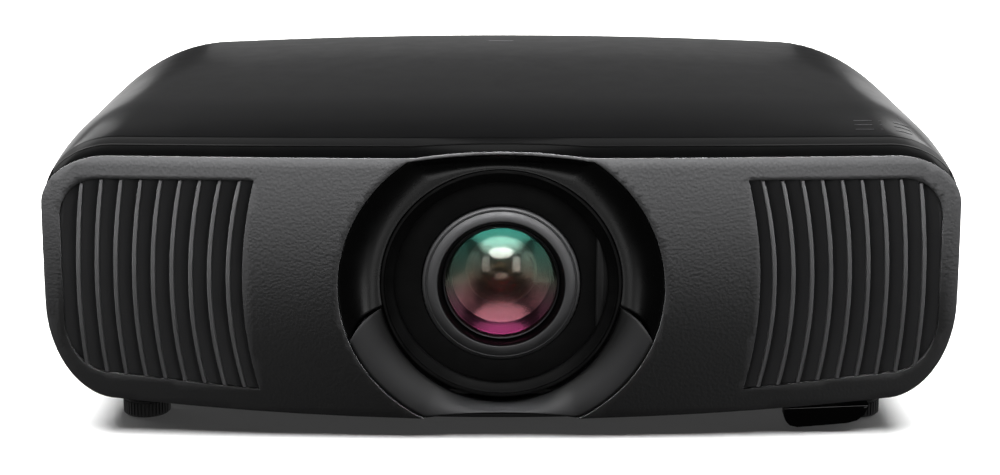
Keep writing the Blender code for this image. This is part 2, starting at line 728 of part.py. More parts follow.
def make_fan(name, x, depth, mats):
    half, thick, hole = 0.0440, 0.024, 0.0410
    frame = flat_part(name + "_fan_frame", rectangle(x - half, -half, x + half, half),
                      [circle(hole, 32, x, 0.0)], depth, depth + thick, mats["fan"])
    strut = box(name + "_fan_strut", (x - half + 0.002, depth + thick - 0.003, -0.004),
                (x + half - 0.002, depth + thick, 0.004), mats["fan"])
    join = frame.modifiers.new("strut", "BOOLEAN")
    join.operation = "UNION"
    join.object = strut
    strut.hide_render = True
    strut.display_type = "WIRE"
    bm = bmesh.new()
    lathe(bm, rod_profile(0.0180, -0.0100, 0.0080), 20)
    hub = finish(bm, name + "_fan_impeller", mats["fan"], spot(x, depth + 0.0115, 0.0))
    blades = bmesh.new()
    for i in range(7):
        blade = add_box(blades, (0.0150, -0.0009, -0.0080), (0.0385, 0.0009, 0.0080))
        spin = Matrix.Rotation(2 * pi * i / 7, 4, "Y") @ Matrix.Rotation(radians(52), 4, "X")
        bmesh.ops.transform(blades, matrix=spin, verts=blade)
    tool = finish(blades, name + "_fan_blades", mats["fan"], spot(x, depth + 0.0105, 0.0))
    cut(hub, tool, "UNION")


# ---------------------------------------------------------------- controls, filter, rear, feet
def make_controls(mats, top_cover):
    wall = -HALF
    opening = box("control_opening", (wall - 0.004, 0.2250, 0.0000), (wall + 0.006, 0.3250, 0.0360),
                  mats["lid"])
    cut(top_cover, opening)
    panel = box("control_panel", (wall + 0.0003, 0.2253, 0.0003), (wall + 0.0023, 0.3247, 0.0357),
                mats["gloss"])
    places = (
        ("power_button", 0.2390, 0.0050), ("menu_button", 0.2600, 0.0038),
        ("enter_button", NAVIGATION_DEPTH, 0.0040),
    )
    turn = (0, 0, -pi / 2)
    for name, depth, radius in places:
        drill = turned(name + "_hole", rod_profile(radius + GAP, -0.01, 0.01), 20, mats["gloss"],
                       spot(wall, depth, KEY_HEIGHT), turn=turn)
        cut(panel, drill)
        stem = [(0.0, -0.0006), (radius - 0.0003, -0.0006), (radius, -0.0002), (radius, 0.0030),
                (0.0, 0.0030)]
        turned(name, stem, 20, mats["button"], spot(wall + GAP, depth, KEY_HEIGHT), turn=turn)
    drill = turned("navigation_hole", rod_profile(0.0124, -0.01, 0.01), 24, mats["gloss"],
                   spot(wall, NAVIGATION_DEPTH, KEY_HEIGHT), turn=turn)
    cut(panel, drill)
    ring = tube_profile(0.0060, 0.0120, -0.0006, 0.0030, 0.0003)
    turned("navigation_ring", ring, 28, mats["button"], spot(wall + GAP, NAVIGATION_DEPTH, KEY_HEIGHT),
           turn=turn)


def make_filter(mats, top_cover):
    wall = HALF
    opening = box("filter_opening", (wall - 0.006, 0.1000, -0.0060), (wall + 0.004, 0.2200, 0.0380),
                  mats["lid"])
    cut(top_cover, opening)
    box("filter_cover", (wall - 0.0030, 0.1003, -0.0057), (wall - 0.0001, 0.2197, 0.0377),
        mats["lid"], bevel=0.0004)
    box("air_filter", (wall - 0.0160, 0.1053, -0.0007), (wall - 0.0033, 0.2147, 0.0327),
        mats["filter"])


def socket(name, x, z, width, height, length, mat, wall=0.0008):
    low = (x - width / 2 - wall, DEPTH - 0.0030 - length, z - height / 2 - wall)
    high = (x + width / 2 + wall, DEPTH - 0.0030 + wall, z + height / 2 + wall)
    tray(name, low, high, wall, (1, 1), mat)


def make_rear(mats, rear_panel):
    bay_low, bay_high = (-0.150, DEPTH - 0.010, -0.0560), (0.070, DEPTH + 0.010, -0.0200)
    cut(rear_panel, box("terminal_opening", bay_low, bay_high, mats["base"]))
    plate_low = (bay_low[0] + GAP, DEPTH - 0.0030, bay_low[2] + GAP)
    plate_high = (bay_high[0] - GAP, DEPTH - 0.0010, bay_high[2] - GAP)
    terminals = box("terminal_plate", plate_low, plate_high, mats["gloss"])
    kinds = (
        ("hdmi_socket_1", -0.125, 0.0144, 0.0052), ("hdmi_socket_2", -0.095, 0.0144, 0.0052),
        ("network_socket", -0.062, 0.0120, 0.0100),
    )
    for name, x, width, height in kinds:
        margin = 0.0008 + GAP
        half_x, half_z = width / 2 + margin, height / 2 + margin
        slot = box(name + "_slot", (x - half_x, DEPTH - 0.02, SOCKET_HEIGHT - half_z),
                   (x + half_x, DEPTH + 0.01, SOCKET_HEIGHT + half_z), mats["gloss"])
        cut(terminals, slot)
        socket(name, x, SOCKET_HEIGHT, width, height, 0.0120, mats["socket"])
    inlet_x, inlet_z = 0.165, -0.036
    hole = box("inlet_opening", (inlet_x - 0.0163, DEPTH - 0.012, inlet_z - 0.0123),
               (inlet_x + 0.0163, DEPTH + 0.01, inlet_z + 0.0123), mats["base"])
    cut(rear_panel, hole)
    socket("power_inlet", inlet_x, inlet_z, 0.0280, 0.0200, 0.0180, mats["nylon"], 0.0020)


def make_feet(mats, base_pan):
    floor = -LENS_HEIGHT
    for name, side in (("left", -1), ("right", 1)):
        x = side * FOOT_X
        under = belly(x, FOOT_DEPTH)
        hole = turned(name + "_foot_hole", rod_profile(0.0065, -0.03, 0.03), 20, mats["base"],
                      spot(x, FOOT_DEPTH, under), turn=(pi / 2, 0, 0))
        cut(base_pan, hole)
        disc = [(0.0, 0.0), (FOOT_R - 0.0015, 0.0), (FOOT_R, 0.0015), (FOOT_R, FOOT_H), (0.0, FOOT_H)]
        turned("front_foot_" + name, disc, 28, mats["rubber"], spot(x, FOOT_DEPTH, floor),
               turn=(pi / 2, 0, 0))
        post = rod_profile(0.0040, FOOT_H + GAP, 0.046)
        turned("foot_post_" + name, post, 16, mats["steel"], spot(x, FOOT_DEPTH, floor),
               turn=(pi / 2, 0, 0))
        x = side * REAR_FOOT_X
        top = belly(x - side * 0.010, REAR_FOOT_DEPTH) - floor - GAP
        pad = [(0.0, 0.0), (0.0090, 0.0), (0.0100, 0.0010), (0.0100, top), (0.0, top)]
        turned("rear_foot_" + name, pad, 24, mats["rubber"], spot(x, REAR_FOOT_DEPTH, floor),
               turn=(pi / 2, 0, 0))


def make_receiver(mats):
    """The remote receiver's window hangs under the right end of the fascia."""
    points = [(0.1640, -0.0722), (0.1640, -0.0800), (0.1665, -0.0848), (0.1720, -0.0863),
              (0.2010, -0.0838), (0.2085, -0.0815), (0.2120, -0.0770), (0.2130, -0.0700)]
    limit = [(x, min(z, belly(x, WINDOW_BACK) - GAP)) for x, z in points]
    bm = bmesh.new()
    plate(bm, limit, [], WINDOW_FRONT, WINDOW_BACK)
    finish(bm, "remote_window", mats["window"], spot(0, 0, 0))


def main():
    clear_scene()
    mats = {
        "lid": material("lid_black", (0.012, 0.012, 0.013), 0.32),
        "base": material("base_black", (0.015, 0.015, 0.016), 0.55),
        "fascia": material("fascia_graphite", (0.045, 0.045, 0.047), 0.60),
        "vent": material("vent_graphite", (0.040, 0.040, 0.042), 0.55),
        "gloss": material("well_gloss", (0.010, 0.010, 0.011), 0.18),
        "satin": material("bore_satin", (0.030, 0.030, 0.031), 0.40),
        "chin": material("chin_satin", (0.035, 0.035, 0.037), 0.42),
        "shutter": material("shutter_black", (0.012, 0.012, 0.013), 0.50),
        "nylon": material("nylon_black", (0.020, 0.020, 0.021), 0.60),
        "ring": material("ring_gunmetal", (0.180, 0.180, 0.185), 0.38, 0.7),
        "mask": material("mask_black", (0.008, 0.008, 0.008), 0.80),
        "barrel": material("barrel_black", (0.020, 0.020, 0.021), 0.45, 0.3),
        "glass": material("coated_glass", (0.80, 0.90, 0.88), 0.03, 0.0, 0.35),
        "diecast": material("diecast_alloy", (0.50, 0.50, 0.51), 0.50, 0.9),
        "steel": material("steel", (0.60, 0.60, 0.61), 0.35, 1.0),
        "panel": material("panel_frame", (0.10, 0.10, 0.11), 0.50),
        "phosphor": material("phosphor_disc", (0.80, 0.72, 0.20), 0.50),
        "finned": material("finned_alloy", (0.60, 0.60, 0.60), 0.45, 0.9),
        "board": material("board_green", (0.03, 0.16, 0.07), 0.50),
        "fan": material("fan_black", (0.020, 0.020, 0.020), 0.50),
        "button": material("button_black", (0.022, 0.022, 0.023), 0.45),
        "filter": material("filter_grey", (0.30, 0.31, 0.33), 0.90),
        "socket": material("socket_shell", (0.45, 0.45, 0.46), 0.40, 0.9),
        "window": material("window_smoke", (0.008, 0.006, 0.008), 0.12),
        "rubber": material("foot_rubber", (0.012, 0.012, 0.012), 0.85),
    }
    top_cover, base_pan, rear_panel = make_casing(mats)
    make_fascia(mats)
    make_vent("left_vent", 1, mats)
    make_vent("right_vent", -1, mats)
    make_well(mats)
    make_shutter(mats)
    make_lens(mats)
    make_engine(mats)
    make_controls(mats, top_cover)
    make_filter(mats, top_cover)
    make_rear(mats, rear_panel)
    make_feet(mats, base_pan)
    make_receiver(mats)


main()
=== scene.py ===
"""Home-cinema laser projector: fine casing surfaces, optics, finishes, studio and camera.

Metres, +Z up, the front faces -Y. Like the solids, most places are given as x, depth behind the
middle of the front, and height above the lens axis.
"""
import json
from math import atan2, cos, hypot, pi, radians, sin, sqrt

import bmesh
import bpy
from mathutils import Matrix, Vector
from mathutils.geometry import delaunay_2d_cdt


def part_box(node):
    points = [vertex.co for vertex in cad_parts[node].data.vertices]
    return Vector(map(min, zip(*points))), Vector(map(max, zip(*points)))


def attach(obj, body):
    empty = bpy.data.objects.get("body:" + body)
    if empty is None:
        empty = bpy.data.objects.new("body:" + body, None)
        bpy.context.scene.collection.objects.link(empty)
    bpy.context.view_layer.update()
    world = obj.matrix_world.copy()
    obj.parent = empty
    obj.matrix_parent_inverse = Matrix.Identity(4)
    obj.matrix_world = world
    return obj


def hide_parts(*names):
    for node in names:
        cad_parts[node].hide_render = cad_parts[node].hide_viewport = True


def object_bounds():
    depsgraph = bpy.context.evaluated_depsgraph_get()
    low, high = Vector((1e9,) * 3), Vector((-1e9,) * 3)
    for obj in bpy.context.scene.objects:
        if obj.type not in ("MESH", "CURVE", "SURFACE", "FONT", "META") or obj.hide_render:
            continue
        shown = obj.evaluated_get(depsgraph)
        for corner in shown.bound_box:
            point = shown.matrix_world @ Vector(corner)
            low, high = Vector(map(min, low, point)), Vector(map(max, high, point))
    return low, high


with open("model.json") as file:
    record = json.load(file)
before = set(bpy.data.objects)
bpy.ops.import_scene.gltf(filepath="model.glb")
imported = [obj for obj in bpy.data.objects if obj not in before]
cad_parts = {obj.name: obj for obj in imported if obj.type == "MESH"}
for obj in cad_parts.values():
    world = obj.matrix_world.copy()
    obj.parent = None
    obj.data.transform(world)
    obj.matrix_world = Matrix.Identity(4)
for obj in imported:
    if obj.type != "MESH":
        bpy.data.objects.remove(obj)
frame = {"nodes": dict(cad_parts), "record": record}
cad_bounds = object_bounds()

# ---------------------------------------------------------------- sizes read from the frame
LOW, HIGH = (Vector(corner) for corner in cad_bounds)
WELL_LOW, WELL_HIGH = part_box("lens_well_ring")
RING_LOW, RING_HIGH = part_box("lens_face_ring")
SHUTTER_LOW, SHUTTER_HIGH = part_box("lens_shutter")
LENS_HEIGHT = (WELL_LOW[2] + WELL_HIGH[2]) / 2
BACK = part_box("rear_panel")[1][1]
DEPTH = 0.447
FRONT = BACK - DEPTH
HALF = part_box("front_fascia")[1][0]
CHASSIS = "chassis"

WALL = 0.0025
CROWN_TOP = HIGH.z - LENS_HEIGHT
CREST_DEPTH = 0.183
LID_RADIUS_FRONT = 0.688
LID_RADIUS_REAR = 0.900
LID_FRONT_DIP, LID_FRONT_DIP_RUN = 0.0105, 0.055
LID_START = 0.0107
CROWN_RADIUS = 3.990
SHOULDER_SPRING = 0.0435
SEAM = -0.010
CORNER_X = 0.039
BELLY = -0.0775
BELLY_RISE, PAN_RISE, PAN_RUN = 0.215, 0.050, 0.040
REAR_ROUND = 0.045
REAR_SEAM = 0.425

PLAN_RADIUS, PROFILE_RADIUS = 2.8, 0.7
FASCIA_WALL = 0.003
FASCIA_TOP = 0.0748
FASCIA_CORNER_X, FASCIA_CORNER_Z = 0.039, 0.0278
BUMP_HALF, BUMP_RISE = 0.0486, 0.0038
WELL_A, WELL_B = 0.0925, 0.088
WELL_GAP = 0.0006
RING_R = (WELL_HIGH[0] - WELL_LOW[0]) / 2
RING_SQUASH = (WELL_HIGH[2] - WELL_LOW[2]) / (WELL_HIGH[0] - WELL_LOW[0])
RING_FRONT, RING_BACK = WELL_LOW[1] - FRONT, WELL_HIGH[1] - FRONT
BORE_R = 0.0610
CHIN_INNER_ANGLE, CHIN_OUTER_ANGLE = 191.0, 200.5

LENS_AXIS = ((RING_LOW[0] + RING_HIGH[0]) / 2, (RING_LOW[2] + RING_HIGH[2]) / 2)
LENS_RING_R = (RING_HIGH[0] - RING_LOW[0]) / 2
LENS_FRONT = RING_LOW[1]


# ---------------------------------------------------------------- mesh helpers
def spot(x, depth, height):
    return (x, FRONT + depth, LENS_HEIGHT + height)


def piece(name, bm, finish, body=CHASSIS, replaces=(), cutters=(), bevel=0.0, sharp=35.0,
          merge=1e-6):
    """Closes a bmesh into a finished piece that rides on a body."""
    bmesh.ops.remove_doubles(bm, verts=bm.verts, dist=merge)
    bmesh.ops.recalc_face_normals(bm, faces=bm.faces)
    mesh = bpy.data.meshes.new(name)
    bm.to_mesh(mesh)
    bm.free()
    mesh.materials.append(finish)
    obj = bpy.data.objects.new(name, mesh)
    bpy.context.scene.collection.objects.link(obj)
    if cutters:
        carve(obj, cutters)
    if bevel:
        round_edges(obj, bevel)
    obj.data.shade_smooth()
    obj.data.set_sharp_from_angle(angle=radians(sharp))
    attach(obj, body)
    if replaces:
        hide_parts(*replaces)
    return obj


def settle(obj):
    """Applies the modifiers of an object to its mesh."""
    graph = bpy.context.evaluated_depsgraph_get()
    mesh = bpy.data.meshes.new_from_object(obj.evaluated_get(graph))
    obj.modifiers.clear()
    obj.data = mesh
    return obj


def round_edges(obj, width, segments=2, angle=40.0):
    mod = obj.modifiers.new("edges", "BEVEL")
    mod.width = width
    mod.segments = segments
    mod.limit_method = "ANGLE"
    mod.angle_limit = radians(angle)
    mod.harden_normals = False
    settle(obj)


def carve(obj, cutters):
    """Cuts plain helper objects out of a piece, and then removes the helpers."""
    for cutter in cutters:
        mod = obj.modifiers.new("cut", "BOOLEAN")
        mod.solver = "EXACT"
        mod.object = cutter
    settle(obj)
    for cutter in cutters:
        bpy.data.objects.remove(cutter, do_unlink=True)


def helper(bm):
    bmesh.ops.recalc_face_normals(bm, faces=bm.faces)
    mesh = bpy.data.meshes.new("helper")
    bm.to_mesh(mesh)
    bm.free()
    obj = bpy.data.objects.new("helper", mesh)
    bpy.context.scene.collection.objects.link(obj)
    return obj


def box_bm(low, high, bm=None):
    bm = bm or bmesh.new()
    for vert in bmesh.ops.create_cube(bm, size=1.0)["verts"]:
        vert.co = [l + (h - l) * (c + 0.5) for l, h, c in zip(low, high, vert.co)]
    return bm


def skin(bm, rows, around=False):
    """Quads between rows of points; around closes each row into a ring."""
    made = [[bm.verts.new(point) for point in row] for row in rows]
    for row, after in zip(made, made[1:]):
        count = len(row)
        for step in range(count if around else count - 1):
            nxt = (step + 1) % count
            bm.faces.new((row[step], row[nxt], after[nxt], after[step]))
    return made


def shell(bm, outer, inner):
    """A wall between two grids of points, joined along their four borders."""
    out, inn = skin(bm, outer), skin(bm, inner)
    borders = (
        ([row[0] for row in out], [row[0] for row in inn]),
        ([row[-1] for row in out], [row[-1] for row in inn]),
        (out[0], inn[0]),
        (out[-1], inn[-1]),
    )
    for line, under in borders:
        for step in range(len(line) - 1):
            bm.faces.new((line[step], line[step + 1], under[step + 1], under[step]))


def lathe(bm, profile, steps, centre, squash=1.0, closed=True):
    """Turns (radius, y) points about a line along Y through centre = (x, z)."""
    rings = []
    for radius, y in profile:
        count = steps if radius > 1e-7 else 1
        turns = [2 * pi * step / steps for step in range(count)]
        rings.append([
            bm.verts.new((centre[0] + radius * cos(a), y, centre[1] + radius * squash * sin(a)))
            for a in turns
        ])
    pairs = list(zip(rings, rings[1:]))
    if closed:
        pairs.append((rings[-1], rings[0]))
    for ring, after in pairs:
        if len(ring) == 1 and len(after) == 1:
            continue
        for step in range(steps):
            nxt = (step + 1) % steps
            corners = [ring[step % len(ring)], ring[nxt % len(ring)]]
            corners += [after[nxt % len(after)], after[step % len(after)]]
            bm.faces.new(list(dict.fromkeys(corners)))


def arc(cx, cy, radius, start, end, steps):
    """Points of a circular arc, in degrees."""
    turns = [radians(start + (end - start) * i / steps) for i in range(steps + 1)]
    return [(cx + radius * cos(a), cy + radius * sin(a)) for a in turns]


def resample(loop, spacing):
    """Points about spacing apart along a closed outline, keeping its corners."""
    found = []
    for (ax, az), (bx, bz) in zip(loop, loop[1:] + loop[:1]):
        count = max(1, round(hypot(bx - ax, bz - az) / spacing))
        found += [(ax + (bx - ax) * i / count, az + (bz - az) * i / count) for i in range(count)]
    return found


def area(loop):
    return sum(ax * bz - bx * az for (ax, az), (bx, bz) in zip(loop, loop[1:] + loop[:1])) / 2


def pulled_in(loop, distance):
    """The outline moved towards its inside by distance (or away, if negative)."""
    way = distance if area(loop) > 0 else -distance
    found = []
    for before, (x, z), after in zip(loop[-1:] + loop[:-1], loop, loop[1:] + loop[:1]):
        ax, az = x - before[0], z - before[1]
        bx, bz = after[0] - x, after[1] - z
        la, lb = hypot(ax, az) or 1.0, hypot(bx, bz) or 1.0
        nx, nz = -(az / la + bz / lb), ax / la + bx / lb
        length = hypot(nx, nz) or 1.0
        stretch = min(1.6, 2.0 / max(length, 0.7))
        found.append((x + nx / length * way * stretch, z + nz / length * way * stretch))
    return found


def inside(x, z, loop):
    odd = False
    for (ax, az), (bx, bz) in zip(loop, loop[1:] + loop[:1]):
        if (az > z) != (bz > z) and x < ax + (bx - ax) * (z - az) / (bz - az):
            odd = not odd
    return odd


def panel(bm, outline, holes, face, thickness, radius, spacing):
    """A curved plate whose front follows face(x, z), with rounded edges round its outline and holes."""
    loops = [(outline, 1)] + [(hole, -1) for hole in holes]
    points, drops, edges = [], [], []
    for loop, side in loops:
        for share in (0.0, 0.12, 0.4, 1.0):
            line = pulled_in(loop, radius * share * side) if share else loop
            start = len(points)
            points += line
            drops += [radius * (1 - sqrt(1 - (1 - share) ** 2))] * len(line)
            edges += [(start + i, start + (i + 1) % len(line)) for i in range(len(line))]
    margin = pulled_in(outline, radius + spacing * 0.35)
    moats = [pulled_in(hole, -radius - spacing * 0.35) for hole in holes]
    xs, zs = [p[0] for p in outline], [p[1] for p in outline]
    for i in range(int((max(xs) - min(xs)) / spacing) + 1):
        for k in range(int((max(zs) - min(zs)) / spacing) + 1):
            x, z = min(xs) + (i + 0.5) * spacing, min(zs) + (k + 0.5) * spacing
            if inside(x, z, margin) and not any(inside(x, z, moat) for moat in moats):
                points.append((x, z))
                drops.append(0.0)
    flat = delaunay_2d_cdt([Vector(p) for p in points], edges, [], 0, 1e-7)
    places, cells, sources = flat[0], flat[2], flat[3]
    front, back = [], []
    for place, source in zip(places, sources):
        drop = max((drops[i] for i in source), default=0.0)
        y = FRONT + face(place.x, place.y)
        front.append(bm.verts.new((place.x, y + drop, LENS_HEIGHT + place.y)))
        back.append(bm.verts.new((place.x, y + thickness, LENS_HEIGHT + place.y)))
    rims = {}
    for a, b, c in (cell for cell in cells if len(cell) == 3):
        x = (places[a].x + places[b].x + places[c].x) / 3
        z = (places[a].y + places[b].y + places[c].y) / 3
        if not inside(x, z, outline) or any(inside(x, z, hole) for hole in holes):
            continue
        bm.faces.new((front[a], front[b], front[c]))
        bm.faces.new((back[c], back[b], back[a]))
        for pair in ((a, b), (b, c), (c, a)):
            rims[frozenset(pair)] = None if frozenset(pair) in rims else pair
    for pair in rims.values():
        if pair:
            bm.faces.new((front[pair[0]], front[pair[1]], back[pair[1]], back[pair[0]]))
    bmesh.ops.delete(bm, geom=[v for v in bm.verts if not v.link_faces], context="VERTS")


# ---------------------------------------------------------------- repeats made by node trees
def new_tree(name, sockets):
    """A geometry tree with one geometry input and the named inputs {name: (socket type, value)}."""
    tree = bpy.data.node_groups.new(name, "GeometryNodeTree")
    tree.interface.new_socket("Geometry", in_out="INPUT", socket_type="NodeSocketGeometry")
    tree.interface.new_socket("Geometry", in_out="OUTPUT", socket_type="NodeSocketGeometry")
    for label, (kind, value) in sockets.items():
        made = tree.interface.new_socket(label, in_out="INPUT", socket_type="NodeSocket" + kind)
        if value is not None:
            made.default_value = value
    return tree, tree.nodes.new("NodeGroupInput"), tree.nodes.new("NodeGroupOutput")


def join(tree, source, target, socket=0):
    if not hasattr(source, "is_output"):
        source = source.outputs[0]
    tree.links.new(source, target.inputs[socket])
    return target


def maths(tree, operation, *values):
    node = tree.nodes.new("ShaderNodeMath")
    node.operation = operation
    for slot, value in enumerate(values):
        if isinstance(value, (int, float)):
            node.inputs[slot].default_value = value
        else:
            tree.links.new(value, node.inputs[slot])
    return node.outputs[0]


def close_tree(tree, geometry, given, end):
    """Ends a tree in Realize Instances and Set Material."""
    solid = join(tree, geometry, tree.nodes.new("GeometryNodeRealizeInstances"))
    paint = join(tree, solid, tree.nodes.new("GeometryNodeSetMaterial"))
    tree.links.new(given.outputs["Material"], paint.inputs["Material"])
    join(tree, paint, end)


def grid_tree():
    """Copies a shape over a flat grid of places, in X and Y."""
    tree, given, end = new_tree("grid of copies", {
        "Columns": ("Int", 2), "Rows": ("Int", 2), "Column Pitch": ("Float", 0.01),
        "Row Pitch": ("Float", 0.01), "Material": ("Material", None),
    })
    grid = tree.nodes.new("GeometryNodeMeshGrid")
    for label, pitch, size in (("Columns", "Column Pitch", 0), ("Rows", "Row Pitch", 1)):
        less = maths(tree, "SUBTRACT", given.outputs[label], 1.0)
        tree.links.new(maths(tree, "MULTIPLY", less, given.outputs[pitch]), grid.inputs[size])
        tree.links.new(given.outputs[label], grid.inputs[2 + size])
    copies = tree.nodes.new("GeometryNodeInstanceOnPoints")
    tree.links.new(grid.outputs["Mesh"], copies.inputs["Points"])
    tree.links.new(given.outputs["Geometry"], copies.inputs["Instance"])
    close_tree(tree, copies, given, end)
    return tree


def ring_tree():
    """Copies a shape round an upright axis, each copy facing outwards."""
    tree, given, end = new_tree("ring of copies", {
        "Count": ("Int", 12), "Radius": ("Float", 0.01), "Material": ("Material", None),
    })
    circle = tree.nodes.new("GeometryNodeMeshCircle")
    tree.links.new(given.outputs["Count"], circle.inputs["Vertices"])
    tree.links.new(given.outputs["Radius"], circle.inputs["Radius"])
    copies = tree.nodes.new("GeometryNodeInstanceOnPoints")
    tree.links.new(circle.outputs["Mesh"], copies.inputs["Points"])
    tree.links.new(given.outputs["Geometry"], copies.inputs["Instance"])
    index = tree.nodes.new("GeometryNodeInputIndex")
    step = maths(tree, "DIVIDE", 2 * pi, given.outputs["Count"])
    turn = maths(tree, "MULTIPLY", index.outputs[0], step)
    angles = tree.nodes.new("ShaderNodeCombineXYZ")
    tree.links.new(turn, angles.inputs["Z"])
    tree.links.new(angles.outputs[0], copies.inputs["Rotation"])
    close_tree(tree, copies, given, end)
    return tree


def fin_tree():
    """Spreads one upright fin into a vent: each copy is bowed, trimmed and laid on the front's curve."""
    tree, given, end = new_tree("vent fins", {
        "Count": ("Int", 9), "First": ("Float", 0.0), "Pitch": ("Float", 0.01),
        "Bow": ("Float", 0.008), "Bow Loss": ("Float", 0.0005), "Bow Height": ("Float", 0.06),
        "Low": ("Float", -0.06), "Low Rise": ("Float", 0.001), "High": ("Float", 0.06),
        "Corner From": ("Float", 7.0), "Corner Cut": ("Float", 0.003),
        "Plan Radius": ("Float", 2.8), "Profile Radius": ("Float", 0.7),
        "Material": ("Material", None),
    })
    value = given.outputs
    line = tree.nodes.new("GeometryNodeMeshLine")
    tree.links.new(value["Count"], line.inputs["Count"])
    offset = tree.nodes.new("ShaderNodeCombineXYZ")
    tree.links.new(value["Pitch"], offset.inputs["X"])
    tree.links.new(offset.outputs[0], line.inputs["Offset"])
    mark = tree.nodes.new("GeometryNodeStoreNamedAttribute")
    mark.inputs["Name"].default_value = "fin"
    index = tree.nodes.new("GeometryNodeInputIndex")
    copies = tree.nodes.new("GeometryNodeInstanceOnPoints")
    join(tree, line, copies)
    tree.links.new(value["Geometry"], copies.inputs["Instance"])
    mark.domain = "INSTANCE"
    join(tree, copies, mark)
    tree.links.new(index.outputs[0], mark.inputs["Value"])
    solid = join(tree, mark, tree.nodes.new("GeometryNodeRealizeInstances"))
    number = tree.nodes.new("GeometryNodeInputNamedAttribute")
    number.inputs["Name"].default_value = "fin"
    fin = number.outputs["Attribute"]
    here = tree.nodes.new("ShaderNodeSeparateXYZ")
    join(tree, tree.nodes.new("GeometryNodeInputPosition"), here)
    cut = maths(tree, "MULTIPLY", maths(tree, "MAXIMUM", maths(
        tree, "SUBTRACT", fin, value["Corner From"]), 0.0), value["Corner Cut"])
    low = maths(tree, "ADD", maths(tree, "ADD", value["Low"], maths(
        tree, "MULTIPLY", fin, value["Low Rise"])), cut)
    high = maths(tree, "SUBTRACT", value["High"], cut)
    share = maths(tree, "MULTIPLY_ADD", here.outputs["Z"], 0.5, 0.5)
    z = maths(tree, "MULTIPLY_ADD", maths(tree, "SUBTRACT", high, low), share, low)
    bow = maths(tree, "SUBTRACT", value["Bow"], maths(tree, "MULTIPLY", fin, value["Bow Loss"]))
    reach = maths(tree, "POWER", maths(tree, "DIVIDE", z, value["Bow Height"]), 2.0)
    x = maths(tree, "ADD", maths(tree, "ADD", here.outputs["X"], value["First"]),
              maths(tree, "MULTIPLY", bow, reach))
    plan = maths(tree, "DIVIDE", maths(tree, "POWER", x, 2.0), maths(
        tree, "MULTIPLY", value["Plan Radius"], 2.0))
    side = maths(tree, "DIVIDE", maths(tree, "POWER", z, 2.0), maths(
        tree, "MULTIPLY", value["Profile Radius"], 2.0))
    y = maths(tree, "ADD", here.outputs["Y"], maths(tree, "ADD", plan, side))
    placed = tree.nodes.new("ShaderNodeCombineXYZ")
    for axis, source in zip("XYZ", (x, y, z)):
        tree.links.new(source, placed.inputs[axis])
    move = join(tree, solid, tree.nodes.new("GeometryNodeSetPosition"))
    tree.links.new(placed.outputs[0], move.inputs["Position"])
    close_tree(tree, move, given, end)
    return tree


TREES = {"grid": grid_tree(), "ring": ring_tree(), "fins": fin_tree()}


def repeated(name, bm, tree, values, place, finish, body=CHASSIS, replaces=()):
    """Runs a tree on a shape, turns the result into a plain mesh and sets it in place by a matrix."""
    bmesh.ops.recalc_face_normals(bm, faces=bm.faces)
    mesh = bpy.data.meshes.new(name)
    bm.to_mesh(mesh)
    bm.free()
    obj = bpy.data.objects.new(name, mesh)
    bpy.context.scene.collection.objects.link(obj)
    mod = obj.modifiers.new("copies", "NODES")
    mod.node_group = TREES[tree]
    for item in TREES[tree].interface.items_tree:
        if item.item_type == "SOCKET" and item.in_out == "INPUT" and item.name in values:
            mod[item.identifier] = values[item.name]
        elif item.item_type == "SOCKET" and item.in_out == "INPUT" and item.name == "Material":
            mod[item.identifier] = finish
    settle(obj)
    obj.data.transform(place)
    tidy = bmesh.new()
    tidy.from_mesh(obj.data)
    bmesh.ops.recalc_face_normals(tidy, faces=tidy.faces)
    tidy.to_mesh(obj.data)
    tidy.free()
    obj.data.shade_smooth()
    obj.data.set_sharp_from_angle(angle=radians(35))
    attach(obj, body)
    if replaces:
        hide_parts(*replaces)
    return obj


# ---------------------------------------------------------------- finishes
def nodes_of(name):
    mat = bpy.data.materials.new(name)
    mat.use_nodes = True
    tree = mat.node_tree
    return mat, tree, tree.nodes["Principled BSDF"], tree.nodes.new("ShaderNodeTexCoord")


def noise(tree, coord, scale, detail=3.0, rough=0.55, stretch=None):
    source = coord.outputs["Object"]
    if stretch:
        mapping = tree.nodes.new("ShaderNodeMapping")
        mapping.inputs["Scale"].default_value = stretch
        tree.links.new(source, mapping.inputs["Vector"])
        source = mapping.outputs[0]
    node = tree.nodes.new("ShaderNodeTexNoise")
    node.inputs["Scale"].default_value = scale
    node.inputs["Detail"].default_value = detail
    node.inputs["Roughness"].default_value = rough
    tree.links.new(source, node.inputs["Vector"])
    return node.outputs["Fac"]


def spread(tree, source, low, high, from_low=0.3, from_high=0.7):
    node = tree.nodes.new("ShaderNodeMapRange")
    for slot, number in zip(("From Min", "From Max", "To Min", "To Max"), (from_low, from_high, low, high)):
        node.inputs[slot].default_value = number
    tree.links.new(source, node.inputs["Value"])
    return node.outputs[0]


def tint(tree, source, dark, light):
    node = tree.nodes.new("ShaderNodeMix")
    node.data_type = "RGBA"
    node.inputs["A"].default_value = (*dark, 1.0)
    node.inputs["B"].default_value = (*light, 1.0)
    tree.links.new(source, node.inputs["Factor"])
    return node.outputs["Result"]


def raise_by(tree, shader, height, distance, strength=1.0, after=None):
    node = tree.nodes.new("ShaderNodeBump")
    node.inputs["Distance"].default_value = distance
    node.inputs["Strength"].default_value = strength
    tree.links.new(height, node.inputs["Height"])
    if after:
        tree.links.new(after.outputs[0], node.inputs["Normal"])
    tree.links.new(node.outputs[0], shader.inputs["Normal"])
    return node


